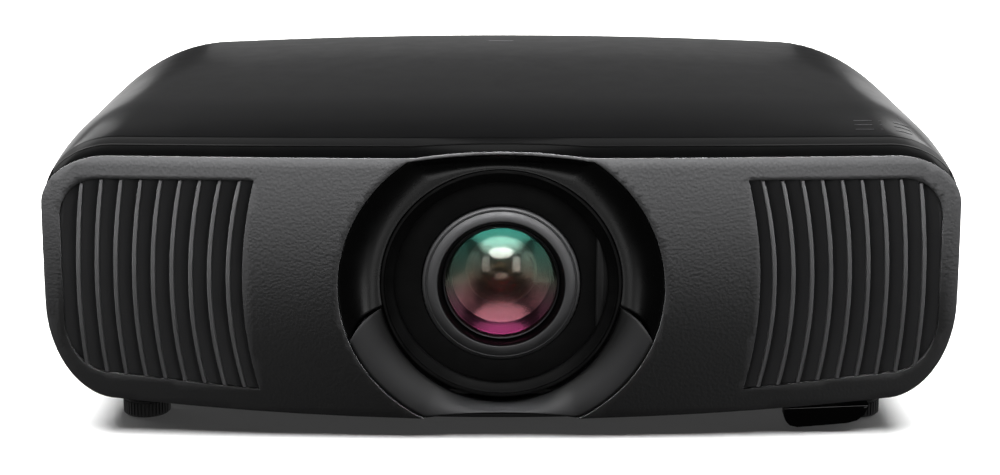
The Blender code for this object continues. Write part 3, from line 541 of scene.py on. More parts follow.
def moulded(name, colour, rough, grain=900.0, depth=0.00003, metallic=0.0, coat=0.0, coat_rough=0.1,
            variation=0.12, rough_spread=0.05, specular=0.5):
    """Moulded plastic or painted metal: fine grain, faint mottling and uneven gloss."""
    mat, tree, shader, coord = nodes_of(name)
    shader.inputs["Metallic"].default_value = metallic
    shader.inputs["Coat Weight"].default_value = coat
    shader.inputs["Coat Roughness"].default_value = coat_rough
    shader.inputs["Specular IOR Level"].default_value = specular
    cloud = noise(tree, coord, 14.0, 4.0)
    dark = [c * (1 - variation) for c in colour]
    light = [c * (1 + variation) for c in colour]
    tree.links.new(tint(tree, spread(tree, cloud, 0.0, 1.0), dark, light), shader.inputs["Base Color"])
    wear = noise(tree, coord, 60.0, 5.0)
    tree.links.new(spread(tree, wear, rough - rough_spread, rough + rough_spread), shader.inputs["Roughness"])
    raise_by(tree, shader, noise(tree, coord, grain, 2.0), depth)
    return mat


def pebbled(name, colour, rough, cell=620.0, depth=0.00006):
    """Leather-like moulded texture: soft pebbles with a finer grain between them."""
    mat, tree, shader, coord = nodes_of(name)
    warp = noise(tree, coord, 260.0, 2.0)
    cells = tree.nodes.new("ShaderNodeTexVoronoi")
    cells.feature = "SMOOTH_F1"
    cells.inputs["Scale"].default_value = cell
    cells.inputs["Smoothness"].default_value = 0.7
    bend = tree.nodes.new("ShaderNodeVectorMath")
    bend.operation = "MULTIPLY_ADD"
    bend.inputs[1].default_value = (0.0012, 0.0012, 0.0012)
    tree.links.new(warp, bend.inputs[0])
    tree.links.new(coord.outputs["Object"], bend.inputs[2])
    tree.links.new(bend.outputs[0], cells.inputs["Vector"])
    cloud = noise(tree, coord, 9.0, 3.0)
    dark, light = [c * 0.92 for c in colour], [c * 1.08 for c in colour]
    tree.links.new(tint(tree, spread(tree, cloud, 0.0, 1.0), dark, light), shader.inputs["Base Color"])
    tree.links.new(spread(tree, cells.outputs["Distance"], rough - 0.05, rough + 0.07, 0.0, 0.8),
                   shader.inputs["Roughness"])
    first = raise_by(tree, shader, cells.outputs["Distance"], depth)
    raise_by(tree, shader, noise(tree, coord, 2400.0, 2.0), 0.000012, after=first)
    return mat


def turned_metal(name, colour, rough, centre, metallic=1.0, lines=5200.0, depth=0.000006):
    """Metal faced on a lathe: fine rings round an axis along Y."""
    mat, tree, shader, coord = nodes_of(name)
    shader.inputs["Metallic"].default_value = metallic
    shader.inputs["Anisotropic"].default_value = 0.4
    away = tree.nodes.new("ShaderNodeMapping")
    away.inputs["Location"].default_value = (-centre[0], 0.0, -centre[1])
    away.inputs["Scale"].default_value = (1.0, 0.0, 1.0)
    tree.links.new(coord.outputs["Object"], away.inputs["Vector"])
    length = tree.nodes.new("ShaderNodeVectorMath")
    length.operation = "LENGTH"
    tree.links.new(away.outputs[0], length.inputs[0])
    rings = tree.nodes.new("ShaderNodeTexNoise")
    rings.noise_dimensions = "1D"
    rings.inputs["Scale"].default_value = lines
    rings.inputs["Detail"].default_value = 3.0
    tree.links.new(length.outputs["Value"], rings.inputs["W"])
    tree.links.new(tint(tree, spread(tree, rings.outputs["Fac"], 0.0, 1.0), [c * 0.86 for c in colour],
                        [min(1.0, c * 1.12) for c in colour]), shader.inputs["Base Color"])
    tree.links.new(spread(tree, noise(tree, coord, 120.0), rough - 0.04, rough + 0.05),
                   shader.inputs["Roughness"])
    raise_by(tree, shader, rings.outputs["Fac"], depth)
    return mat


def glass_with_painted_reflection_tint(name, top, middle, bottom, centre, reach, strength, rough=0.02):
    """A lens surface: nearly clear and mirror-like, so it reflects the lamps for real, with a painted
    reflection colour that runs from bottom to top.
    """
    mat, tree, shader, coord = nodes_of(name)
    shader.inputs["Metallic"].default_value = 1.0
    shader.inputs["Alpha"].default_value = strength
    split = tree.nodes.new("ShaderNodeSeparateXYZ")
    tree.links.new(coord.outputs["Object"], split.inputs[0])
    # Painted reflection: the mirror colour changes with height, standing in for the coloured reflections in
    # the lens.
    ramp = tree.nodes.new("ShaderNodeValToRGB")
    ramp.color_ramp.elements[0].color = (*bottom, 1.0)
    ramp.color_ramp.elements[1].color = (*top, 1.0)
    ramp.color_ramp.elements.new(0.5).color = (*middle, 1.0)
    level = spread(tree, split.outputs["Z"], 0.0, 1.0, centre[1] - reach, centre[1] + reach)
    tree.links.new(level, ramp.inputs[0])
    tree.links.new(ramp.outputs[0], shader.inputs["Base Color"])
    smudge = noise(tree, coord, 90.0, 4.0)
    tree.links.new(spread(tree, smudge, rough, rough + 0.03), shader.inputs["Roughness"])
    return mat


def make_finishes():
    axis = LENS_AXIS
    return {
        "lid": moulded("lid satin black", (0.006, 0.006, 0.0065), 0.33, 1500.0, 0.000008, coat=0.35,
                       coat_rough=0.16, variation=0.05, rough_spread=0.03),
        "base": moulded("base textured black", (0.016, 0.016, 0.017), 0.55, 1300.0, 0.00004),
        "fascia": pebbled("fascia graphite grain", (0.075, 0.075, 0.077), 0.52),
        "vent": moulded("vent graphite", (0.085, 0.085, 0.087), 0.42, 1100.0, 0.00002),
        # The louvres are the same plastic as the ribs. Their much darker colour is painted shade for their
        # recess behind the ribs.
        "louvre": moulded("louvre graphite with painted shade", (0.026, 0.026, 0.027), 0.50, 1100.0, 0.00002),
        "gloss": moulded("well piano black", (0.003, 0.003, 0.0035), 0.28, 1500.0, 0.000006, coat=0.3,
                         coat_rough=0.20, variation=0.05, rough_spread=0.03),
        "satin": moulded("bore satin", (0.014, 0.014, 0.015), 0.34, 1600.0, 0.000008),
        "chin": moulded("chin satin", (0.018, 0.018, 0.019), 0.42, 1500.0, 0.000010),
        "shutter": moulded("shutter matt black", (0.022, 0.022, 0.023), 0.42, 1800.0, 0.00001),
        "nylon": moulded("nylon black", (0.020, 0.020, 0.021), 0.55),
        "ring": turned_metal("ring gunmetal", (0.22, 0.22, 0.225), 0.46, axis),
        "mask": moulded("mask black", (0.004, 0.004, 0.004), 0.75, 2200.0, 0.00001, specular=0.25),
        "barrel": turned_metal("barrel black", (0.030, 0.030, 0.032), 0.38, axis, 0.6),
        "diecast": moulded("die-cast alloy", (0.46, 0.46, 0.47), 0.48, 800.0, 0.00004, metallic=0.9),
        "steel": moulded("ground steel", (0.60, 0.60, 0.61), 0.30, 1500.0, 0.00001, metallic=1.0),
        "panel": moulded("image panel frame", (0.10, 0.10, 0.11), 0.50),
        "phosphor": turned_metal("phosphor disc", (0.80, 0.70, 0.18), 0.55, (-0.06, LENS_HEIGHT - 0.01), 0.1),
        "finned": moulded("extruded alloy", (0.56, 0.56, 0.57), 0.42, 900.0, 0.00003, metallic=0.9),
        "board": moulded("board green", (0.03, 0.16, 0.07), 0.45, 500.0, 0.00004),
        "fan": moulded("fan black", (0.020, 0.020, 0.020), 0.50),
        "button": moulded("button satin", (0.026, 0.026, 0.027), 0.42, 1500.0, 0.00001),
        "filter": moulded("filter fleece", (0.30, 0.31, 0.33), 0.90, 1800.0, 0.0002),
        "socket": moulded("nickel shell", (0.50, 0.50, 0.50), 0.32, 1500.0, 0.00001, metallic=1.0),
        "window": moulded("window smoke", (0.006, 0.004, 0.006), 0.10, 1500.0, 0.000003, variation=0.05,
                          rough_spread=0.02),
        "rubber": moulded("foot rubber", (0.014, 0.014, 0.014), 0.80, 700.0, 0.00006),
        "print": moulded("printed grey", (0.20, 0.20, 0.21), 0.50, 1500.0, 0.000005),
        "black": moulded("deep black", (0.004, 0.004, 0.004), 0.85),
        # Painted reflection colours for the glass: teal-green at the top, brownish in the middle, pink at the
        # bottom. The lamps' reflections in them are real.
        "glass": glass_with_painted_reflection_tint("front glass", (0.10, 0.62, 0.48), (0.30, 0.34, 0.26), (0.80, 0.10, 0.36),
                              axis, 0.030, 0.10, 0.12),
        "second glass": glass_with_painted_reflection_tint("second glass", (0.55, 1.0, 0.82), (0.40, 0.30, 0.22),
                                     (0.95, 0.34, 0.42), axis, 0.024, 0.20, 0.16),
        "third glass": glass_with_painted_reflection_tint("third glass", (0.95, 1.0, 0.92), (0.9, 0.8, 0.65),
                                    (1.0, 0.72, 0.58), axis, 0.012, 0.60, 0.10),
        "prism": glass_with_painted_reflection_tint("prism glass", (0.9, 1.0, 1.0), (0.9, 0.95, 1.0), (1.0, 0.9, 0.95),
                              axis, 0.032, 0.20),
    }


FINISH = make_finishes()

# ---------------------------------------------------------------- the shape of the body
ROLL = (0.0, 0.13, 0.4, 0.75, 1.0)
EDGE = 0.0009


def roll(share):
    """How far a rounded edge has fallen away at a share of its radius."""
    return 1 - sqrt(1 - (1 - share) ** 2)


def front_face(x, z):
    return x * x / (2 * PLAN_RADIUS) + z * z / (2 * PROFILE_RADIUS)


def lid_height(depth):
    radius = LID_RADIUS_FRONT if depth < CREST_DEPTH else LID_RADIUS_REAR
    left = max(0.0, 1 - depth / LID_FRONT_DIP_RUN)
    return CROWN_TOP - (depth - CREST_DEPTH) ** 2 / (2 * radius) - LID_FRONT_DIP * left ** 2


def half_width(depth):
    into = max(0.0, depth - (DEPTH - REAR_ROUND)) / REAR_ROUND
    return HALF - REAR_ROUND * 0.6 * (1 - sqrt(max(0.0, 1 - into * into)))


def eased(share):
    """Rises from 0 and levels off at 1 without a corner."""
    return 1 - (1 - min(1.0, share)) ** 2


def upper_section(depth, inset=0.0, lip=0.0):
    """(x, z) points over the top from the right-hand seam to the left-hand one; lip rounds their ends."""
    top, half = lid_height(depth) - inset, half_width(depth) - inset
    reach = eased(depth / 0.17)
    round_x = 0.042 + 0.0335 * reach * eased((top - 0.0765) / 0.035)
    crown = (half - round_x) ** 2 / (2 * CROWN_RADIUS) * reach
    power = 0.93 + 0.07 * reach
    right = [(half - lip * roll(share), SEAM + EDGE * share) for share in ROLL]
    straight = SHOULDER_SPRING - SEAM - EDGE
    right += [(half, SEAM + EDGE + straight * i / 5) for i in range(1, 5)]
    for i in range(27):
        angle = pi / 2 * i / 26
        x = half - round_x + round_x * max(0.0, cos(angle)) ** power
        right.append((x, SHOULDER_SPRING + (top - crown - SHOULDER_SPRING) * sin(angle) ** power))
    for i in range(1, 14):
        x = (half - round_x) * (1 - i / 14)
        right.append((x, top - crown * (x / (half - round_x)) ** 2))
    return right + [(0.0, top)] + [(-x, z) for x, z in reversed(right)]


def belly(x, depth):
    rise = PAN_RISE + (BELLY_RISE - PAN_RISE) * max(0.0, 1 - depth / PAN_RUN)
    return BELLY + rise * x * x


def lower_section(depth, inset=0.0, lip=0.0):
    """(x, z) points under the body, from the left-hand seam to the right-hand one."""
    half = half_width(depth) - inset
    middle = half - CORNER_X + inset * 0.3
    level = belly(middle, depth) + inset
    start = SEAM - WELL_GAP
    left = [(lip * roll(share) - half, start - EDGE * share) for share in ROLL]
    for i in range(1, 21):
        angle = pi / 2 * i / 20
        height = start - EDGE + (level - start + EDGE) * sin(angle)
        left.append((-middle - (half - middle) * cos(angle), height))
    left += [(-middle * (1 - i / 14), belly(middle * (1 - i / 14), depth) + inset) for i in range(1, 14)]
    return left + [(0.0, BELLY + inset)] + [(-x, z) for x, z in reversed(left)]


def at_front(x, z, depth):
    """Behind the fascia the casing's first row follows its curve, and later rows straighten."""
    lift = max(0.0, z - SHOULDER_SPRING) / 0.038
    edge = front_face(x, z) + FASCIA_WALL + 0.0005 + 0.0025 * lift
    return depth + (edge - LID_START) * (1 - eased((depth - LID_START) / 0.16))


def rows_between(start, end, count):
    """(depth, pull) pairs from start to end; pull rounds both lips."""
    first = [(start + EDGE * share, EDGE * roll(share)) for share in ROLL]
    last = [(end - EDGE * share, EDGE * roll(share)) for share in reversed(ROLL)]
    run = end - start - 2 * EDGE
    return first + [(start + EDGE + run * i / count, 0.0) for i in range(1, count)] + last


def fascia_top(x):
    rise = BUMP_RISE * (1 - (x / BUMP_HALF) ** 2) if abs(x) < BUMP_HALF else 0.0
    return FASCIA_TOP + rise


def edge_under(x):
    """The fascia's top edge at x, corners included."""
    over = abs(x) - (HALF - FASCIA_CORNER_X)
    if over <= 0:
        return fascia_top(x)
    return FASCIA_TOP - FASCIA_CORNER_Z * (1 - sqrt(max(0.0, 1 - (over / FASCIA_CORNER_X) ** 2)))


def well_edge(angle, shrink=0.0):
    x, z = (WELL_A - shrink) * cos(angle), (WELL_B - shrink) * sin(angle)
    return (x, min(z, fascia_top(x) - 0.0018 - shrink))


def fascia_outline():
    """Round the front from the well's left foot, over the top, to its right foot, and back."""
    middle = HALF - CORNER_X
    level = BELLY + BELLY_RISE * middle ** 2
    left = [(-x, BELLY + BELLY_RISE * x * x) for x in (0.055, 0.085, 0.115, 0.145, 0.175, 0.200)]
    turns = [pi / 2 * i / 18 for i in range(19)]
    left += [(-middle - CORNER_X * sin(a), SEAM + (level - SEAM) * cos(a)) for a in turns]
    corner = HALF - FASCIA_CORNER_X
    left += [
        (-corner - FASCIA_CORNER_X * cos(a), FASCIA_TOP - FASCIA_CORNER_Z * (1 - sin(a))) for a in turns
    ]
    left += [(-x, fascia_top(x)) for x in (0.14, BUMP_HALF, 0.040, 0.030, 0.020, 0.010)]
    around = left + [(0.0, fascia_top(0.0))] + [(-x, z) for x, z in reversed(left)]
    start = atan2(-0.0773 / WELL_B, 0.0442 / WELL_A)
    return around + [well_edge(start + (pi - 2 * start) * i / 150) for i in range(151)]


def grille_outline(inset=0.0):
    """The left vent's outline, as (x, z) points."""
    top, bottom_inner, bottom_outer, inner, bow = 0.0620, -0.0600, -0.0515, -0.1385, 0.0078
    points = []
    for i in range(25):
        t = 1 - i / 12
        z = (top - inset) * (1 + t) / 2 + (bottom_inner + inset) * (1 - t) / 2
        points.append((inner - bow * (1 - t * t) - inset, z))
    for x in (-0.155, -0.170, -0.185, -0.200, -0.213):
        along = (x - inner) / (-0.2247 - inner)
        points.append((x, bottom_inner + (bottom_outer - bottom_inner) * along + inset))
    turns = [pi / 2 * i / 12 for i in range(13)]
    points += [
        (-0.2247 - (0.0250 - inset) * sin(a), -0.0215 - (0.0300 - inset) * cos(a)) for a in turns
    ]
    points += [(-0.2267 - (0.0230 - inset) * cos(a), 0.0390 + (0.0230 - inset) * sin(a)) for a in turns]
    return points


def mirrored(loop):
    return [(-x, z) for x, z in reversed(loop)]


# ---------------------------------------------------------------- casing
def casing_rows(section, start, end, count):
    """The outer and inner skins of a casing half, as rows of points."""
    outer, inner = [], []
    for depth, pull in rows_between(start, end, count):
        for rows, inset, lip in ((outer, pull, EDGE), (inner, WALL, 0.0)):
            points = section(depth, inset, lip)
            rows.append([spot(x, at_front(x, z, depth), z) for x, z in points])
    return outer, inner


def make_top_cover():
    bm = bmesh.new()
    shell(bm, *casing_rows(upper_section, LID_START, REAR_SEAM - 0.0003, 78))
    panel_low, panel_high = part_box("control_panel")
    filter_low, filter_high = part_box("filter_cover")
    cutters = []
    for low, high, side in ((panel_low, panel_high, -1), (filter_low, filter_high, 1)):
        middle, half = (low + high) / 2, (high - low) / 2 + Vector((0, 0.0004, 0.0004))
        cutters.append(soft_block((side * HALF, middle.y, middle.z), (0.007, half.y, half.z), 0.0030))
    piece("lid_shell", bm, FINISH["lid"], replaces=["top_cover"], cutters=cutters)


def soft_block(centre, half, radius):
    """A helper block along X whose four long edges are rounded."""
    bm = bmesh.new()
    rings = []
    for x in (-half[0], half[0]):
        rings.append([
            (centre[0] + x, centre[1] + y, centre[2] + z)
            for y, z in rounded_box(half[1], half[2], radius)
        ])
    made = skin(bm, rings, around=True)
    for ring in made:
        bm.faces.new(ring)
    return helper(bm)


def rounded_box(half_x, half_z, radius, steps=6, x=0.0, z=0.0):
    """An outline with rounded corners."""
    loop = []
    corners = (((1, 1), 0), ((-1, 1), 90), ((-1, -1), 180), ((1, -1), 270))
    for (sx, sz), start in corners:
        cx, cz = x + sx * (half_x - radius), z + sz * (half_z - radius)
        loop += arc(cx, cz, radius, start, start + 90, steps)
    return loop


def pan_section(depth, inset, lip):
    """The base follows the fascia's lower edge at first, and is nearly flat behind it."""
    run = max(0.0, depth - LID_START) * PAN_RUN / (PAN_RUN - LID_START)
    return lower_section(min(depth, run) if depth < PAN_RUN else depth, inset, lip)


def make_base():
    bm = bmesh.new()
    shell(bm, *casing_rows(pan_section, LID_START, REAR_SEAM - 0.0003, 60))
    cutters = []
    for side in ("left", "right"):
        low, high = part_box("foot_post_" + side)
        hole = bmesh.new()
        bmesh.ops.create_cone(hole, cap_ends=True, segments=40, radius1=0.0065, radius2=0.0065, depth=0.06)
        bmesh.ops.translate(hole, verts=hole.verts, vec=((low.x + high.x) / 2, (low.y + high.y) / 2, 0.02))
        cutters.append(helper(hole))
    for depth in (0.110, 0.123, 0.136, 0.149, 0.162):
        for x in (-0.105, 0.0, 0.105):
            slit = box_bm(spot(x - 0.040, depth, BELLY - 0.01), spot(x + 0.040, depth + 0.0035, BELLY + 0.02))
            cutters.append(helper(slit))
    piece("base_shell", bm, FINISH["base"], replaces=["base_pan"], cutters=cutters)
    middle = spot(0.0, 0.245, BELLY + 0.0009)
    screws("base_screws", (4, 3), (0.120, 0.135), middle, Matrix.Rotation(pi, 4, "X"))


def screw_bm(radius=0.0032, thick=0.0012):
    """A pan-head screw's head with a cross recess, facing +Z."""
    bm = bmesh.new()
    steps, rings = 20, []
    shape = ((radius, 0.0), (radius, thick * 0.5), (radius * 0.82, thick * 0.92), (radius * 0.5, thick))
    for r, z in shape:
        turns = [2 * pi * i / steps for i in range(steps)]
        rings.append([(r * cos(a), r * sin(a), z) for a in turns])
    cross = []
    for i in range(steps):
        r = radius * (0.44 if i % 5 == 0 else 0.16)
        cross.append((r * cos(2 * pi * i / steps), r * sin(2 * pi * i / steps), thick))
    rings.append(cross)
    rings.append([(x * 0.8, y * 0.8, z - thick * 0.6) for x, y, z in cross])
    made = skin(bm, rings, around=True)
    bm.faces.new(made[-1])
    bm.faces.new(made[0])
    return bm


def screws(name, count, pitch, centre, turn=Matrix.Identity(4), finish="steel"):
    """A grid of screws made by a node tree and laid against a wall."""
    values = {"Columns": count[0], "Rows": count[1], "Column Pitch": pitch[0], "Row Pitch": pitch[1]}
    place = Matrix.Translation(centre) @ turn
    return repeated(name, screw_bm(), "grid", values, place, FINISH[finish])


def rear_tuck(depth):
    along = min(1.0, max(0.0, (depth - REAR_SEAM) / (DEPTH - REAR_SEAM)))
    return 0.0120 * roll(1 - along)


def make_rear():
    """The rear shell rolls in to a flat back with a terminal bay and the mains inlet's opening."""
    bm = bmesh.new()
    skins = []
    for inset in (0.0, WALL):
        rings = []
        depths = [REAR_SEAM + EDGE * share for share in ROLL]
        depths += [REAR_SEAM + (DEPTH - REAR_SEAM) * (1 - (1 - i / 16) ** 2) for i in range(1, 17)]
        pulls = [inset + (EDGE * roll(share) if not inset else 0.0) for share in ROLL]
        pulls += [rear_tuck(depth) + inset for depth in depths[len(ROLL):]]
        depths.append(DEPTH)
        pulls.append(pulls[-1] + 0.004)
        for depth, pull in zip(depths, pulls):
            loop = upper_section(REAR_SEAM, pull)[1:-1] + lower_section(REAR_SEAM, pull)
            rings.append([spot(x, depth - (inset if depth > REAR_SEAM else 0.0), z) for x, z in loop])
        made = skin(bm, rings, around=True)
        bm.faces.new(made[-1])
        skins.append(made[0])
    for step in range(len(skins[0])):
        nxt = (step + 1) % len(skins[0])
        bm.faces.new((skins[0][step], skins[0][nxt], skins[1][nxt], skins[1][step]))
    plate_low, plate_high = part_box("terminal_plate")
    inlet_low, inlet_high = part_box("power_inlet")
    cutters = []
    for low, high, radius in ((plate_low, plate_high, 0.0020), (inlet_low, inlet_high, 0.0012)):
        grown = Vector((0.0004, 0.0, 0.0004))
        cutters.append(upright_block((low + high) / 2, (high - low) / 2 + grown, 0.010, radius, BACK))
    for i in range(6):
        centre = Vector(spot(0.105 + 0.022 * i, DEPTH, 0.038))
        cutters.append(upright_block(centre, Vector((0.0022, 0.0, 0.020)), 0.008, 0.0018, BACK))
        centre = Vector(spot(-0.105 - 0.022 * i, DEPTH, 0.038))
        cutters.append(upright_block(centre, Vector((0.0022, 0.0, 0.020)), 0.008, 0.0018, BACK))
    rows = (("rear_screws_upper", 5, 0.090, 0.0, 0.070), ("rear_screws_lower", 2, 0.234, -0.040, -0.038))
    for name, count, pitch, middle, z in rows:
        for i in range(count):
            x = middle + pitch * (i - (count - 1) / 2)
            half = Vector((0.0041, 0.0, 0.0041))
            cutters.append(upright_block(Vector(spot(x, DEPTH, z)), half, 0.0016, 0.0040, BACK))
    piece("rear_shell", bm, FINISH["base"], replaces=["rear_panel"], cutters=cutters)
    turn = Matrix.Rotation(-pi / 2, 4, "X")
    for name, count, pitch, middle, z in rows:
        screws(name, (count, 1), (pitch, 0.01), spot(middle, DEPTH - 0.0017, z), turn)


def upright_block(centre, half, reach, radius, y):
    """A helper block along Y whose four long edges are rounded."""
    bm = bmesh.new()
    loop = rounded_box(half[0], half[2], radius, x=centre[0], z=centre[2])
    made = skin(bm, [[(x, y - reach, z) for x, z in loop], [(x, y + reach, z) for x, z in loop]], around=True)
    for ring in made:
        bm.faces.new(ring)
    return helper(bm)


def make_fascia():
    bm = bmesh.new()
    outline = resample(fascia_outline(), 0.0026)
    holes = [resample(loop, 0.0026) for loop in (grille_outline(), mirrored(grille_outline()))]
    panel(bm, outline, holes, front_face, FASCIA_WALL, 0.00015, 0.0045)
    piece("fascia_skin", bm, FINISH["fascia"], replaces=["front_fascia"])


def lid_front(x):
    """Height of the lid's front edge at x."""
    rim = sorted(upper_section(LID_START))
    for (xa, za), (xb, zb) in zip(rim, rim[1:]):
        if xa <= x <= xb and xb > xa:
            return za + (zb - za) * (x - xa) / (xb - xa)
    return rim[0][1]


def make_brow():
    """The strip between the fascia's top edge and the lid."""
    rim = [x for x, z in upper_section(LID_START) if z > 0.0665]
    across = sorted(set([round(x, 6) for x in rim] + [max(rim) * (i / 60 - 1) for i in range(121)]))
    rings = []
    for x in across:
        low, high = edge_under(x) + 0.0004, lid_front(x)
        lift = max(0.0, high - SHOULDER_SPRING) / 0.038
        y0 = front_face(x, low) + 0.0005
        y1 = front_face(x, high) + FASCIA_WALL + 0.0002 + 0.0025 * lift
        bend = (y0 + 0.42 * (y1 - y0), low + 0.60 * (high - low))
        front = []
        for i in range(25):
            t = i / 24
            bead = 0.0004 if i == 13 else 0.0
            y = y0 * (1 - t) ** 2 + 2 * bend[0] * t * (1 - t) + y1 * t * t - bead
            z = low * (1 - t) ** 2 + 2 * bend[1] * t * (1 - t) + high * t * t
            front.append(spot(x, y, z))
        under = max(high - WALL, low + 0.0002)
        back = [spot(x, y1 - 0.0006, under), spot(x, front_face(x, low) + FASCIA_WALL, low)]
        rings.append(front + back)
    bm = bmesh.new()
    made = skin(bm, rings, around=True)
    bm.faces.new(made[0])
    bm.faces.new(made[-1])
    piece("brow_strip", bm, FINISH["lid"], replaces=["front_brow"])


def make_vents():
    """Each vent has nine bowed ribs, and behind them ten slanted louvres that pass its opening's edge."""
    count, first, pitch, bow, bow_loss = 9, -0.1547, -0.0107, 0.0081, 0.0005
    inset = 0.0006

    def foot(number):
        x = first + pitch * number + bow - bow_loss * number
        return vent_floor(x, inset)

    rise = (foot(7) - foot(0)) / 7
    half_rib, rib_back, blade, small = 0.0011, 0.0039, 0.0012, 0.0006
    lean, deep = 0.0098, 0.0116
    strip = arc(half_rib - small, 0.0007, small, 0, -90, 3)
    strip += arc(small - half_rib, 0.0007, small, 270, 180, 3)
    strip += [(-half_rib, rib_back), (half_rib, rib_back)]
    louvre = [
        (half_rib, rib_back - 0.0003), (-half_rib, rib_back - 0.0003), (-half_rib, rib_back + blade),
        (lean - blade * 0.7, deep), (lean, deep - blade * 0.7),
    ]
    shared = {
        "First": first, "Pitch": pitch, "Bow": bow, "Bow Loss": bow_loss, "Bow Height": 0.061,
        "Plan Radius": PLAN_RADIUS, "Profile Radius": PROFILE_RADIUS,
    }
    ribs = {
        "Count": count, "Low": foot(0), "Low Rise": rise, "High": 0.0620 - inset, "Corner From": 7.0,
        "Corner Cut": foot(8) - foot(0) - 8 * rise,
    }
    louvres = {
        "Count": count + 1, "Low": -0.0625, "Low Rise": 0.0010, "High": 0.0635, "Corner From": 8.0,
        "Corner Cut": 0.0060,
    }
    for side, name in ((1, "left_vent"), (-1, "right_vent")):
        place = Matrix.Diagonal((side, 1, 1, 1)) @ Matrix.Translation(spot(0, 0, 0))
        # The louvres take a darker copy of the rib plastic: painted shade for the recess behind the ribs.
        parts = (("_ribs", strip, ribs, "vent"), ("_louvres", louvre, louvres, "louvre"))
        for part, profile, values, finish in parts:
            bm = bmesh.new()
            made = skin(bm, [[(x, y, -1 + i / 14) for x, y in profile] for i in range(29)], around=True)
            bm.faces.new(made[0])
            bm.faces.new(made[-1])
            repeated(name + part, bm, "fins", shared | values, place, FINISH[finish],
                     replaces=[name] if part == "_ribs" else ())


def vent_floor(x, inset):
    """The lowest z inside the vent's outline at x."""
    outline = grille_outline(inset)
    hits = []
    for (xa, za), (xb, zb) in zip(outline, outline[1:] + outline[:1]):
        if (xa - x) * (xb - x) <= 0 and xa != xb:
            hits.append(za + (zb - za) * (x - xa) / (xb - xa))
    return min(hits)


# ---------------------------------------------------------------- lens well
def well_sector(name, first, last, steps, section, finish, replaced, bevel):
    bm = bmesh.new()
    rings = [section(first + (last - first) * i / steps, i / steps) for i in range(steps + 1)]
    made = skin(bm, rings, around=True)
    bm.faces.new(made[0])
    bm.faces.new(made[-1])
    return piece(name, bm, FINISH[finish], replaces=[replaced], bevel=bevel)


def bowed(x, z, s, along):
    """Near a sector's two ends its radial lines bow up and out, as the chin's shoulders do."""
    near = max(0.0, abs(2 * along - 1) - 0.85) / 0.15
    bow = 0.0024 * 4 * s * (1 - s) * near ** 2
    return x + (0.68 if x > 0 else -0.68) * bow, z + 0.73 * bow


def make_well():
    def funnel(angle, along):
        skew = (CHIN_OUTER_ANGLE - CHIN_INNER_ANGLE) * (2 * along - 1)
        xo, zo = well_edge(radians(angle + skew), WELL_GAP)
        xi = (RING_R + 0.0003) * cos(radians(angle))
        zi = (RING_R + 0.0003) * RING_SQUASH * sin(radians(angle))
        lip, floor = front_face(xo, zo) + 0.0006, RING_FRONT + 0.0002
        front = []
        for i in range(15):
            s = i / 14
            depth = lip + (floor - lip) * (1 - (1 - s) ** 2.2)
            x, z = bowed(xo + (xi - xo) * s, zo + (zi - zo) * s, s, along)
            front.append(spot(x, depth, z))
        back = []
        for s in (1.0, 0.75, 0.5, 0.25, 0.0):
            depth = lip + (floor - lip) * (1 - (1 - s) ** 2.2) + 0.0024
            x, z = bowed(xo + (xi - xo) * s, zo + (zi - zo) * s, s, along)
            back.append(spot(x, depth, z))
        return front + back

    first, last = 180.4 - CHIN_INNER_ANGLE, CHIN_INNER_ANGLE - 0.4
    well_sector("well_funnel", first, last, 144, funnel, "gloss", "lens_well_funnel", 0.0003)

    def chin(angle, along):
        skew = (CHIN_OUTER_ANGLE - CHIN_INNER_ANGLE) * (1 - 2 * along)
        xo, zo = well_edge(radians(angle + skew), WELL_GAP)
        zo = max(zo, BELLY + 0.0002 + 0.0038 * max(0.0, 1 - (xo / 0.047) ** 2))
        rim = RING_R + 0.0006 + 0.0016 * max(0.0, -sin(radians(angle))) ** 3
        xi, zi = rim * cos(radians(angle)), rim * RING_SQUASH * sin(radians(angle))
        face = front_face(xo, zo)
        outer, middle, inner = face + 0.0003, face * 0.5 + 0.0040, RING_FRONT - 0.0025
        front = []
        for i in range(13):
            s = i / 12
            depth = outer * (1 - s) * (1 - 2 * s) + middle * 4 * s * (1 - s) + inner * s * (2 * s - 1)
            x, z = bowed(xo + (xi - xo) * s, zo + (zi - zo) * s, s, along)
            front.append(spot(x, depth, z))
        x, z = bowed((xi + xo) / 2, (zi + zo) / 2, 0.5, along)
        back = [
            spot(xi, RING_FRONT + 0.0010, zi), spot(x, face * 0.5 + 0.0062, z),
            spot(xo, face + 0.0028, zo),
        ]
        return front + back

    well_sector("chin_plate", CHIN_INNER_ANGLE, 540 - CHIN_INNER_ANGLE, 110, chin, "chin",
                "chin_panel", 0.0005)

    front, back = RING_FRONT, RING_BACK
    profile = [
        (RING_R, front + 0.0010), (RING_R - 0.0002, front + 0.0003), (RING_R - 0.0007, front),
        (0.0671, front), (0.0667, front + 0.0003), (0.0664, front + 0.0014), (0.0656, front + 0.0019),
        (0.0624, front + 0.0042), (0.0616, front + 0.0046), (BORE_R, front + 0.0052),
        (BORE_R, front + 0.0075), (RING_R, front + 0.0075),
    ]
    tube = [(BORE_R, front + 0.0075), (BORE_R, back), (RING_R, back), (RING_R, front + 0.0075)]
    for name, loop, finish, replaced in (("well_ring", profile, "satin", ["lens_well_ring"]),
                                         ("well_bore", tube, "mask", ())):
        bm = bmesh.new()
        lathe(bm, [(r, FRONT + depth) for r, depth in loop], 160, (0.0, LENS_HEIGHT), RING_SQUASH)
        piece(name, bm, FINISH[finish], replaces=replaced, sharp=28)


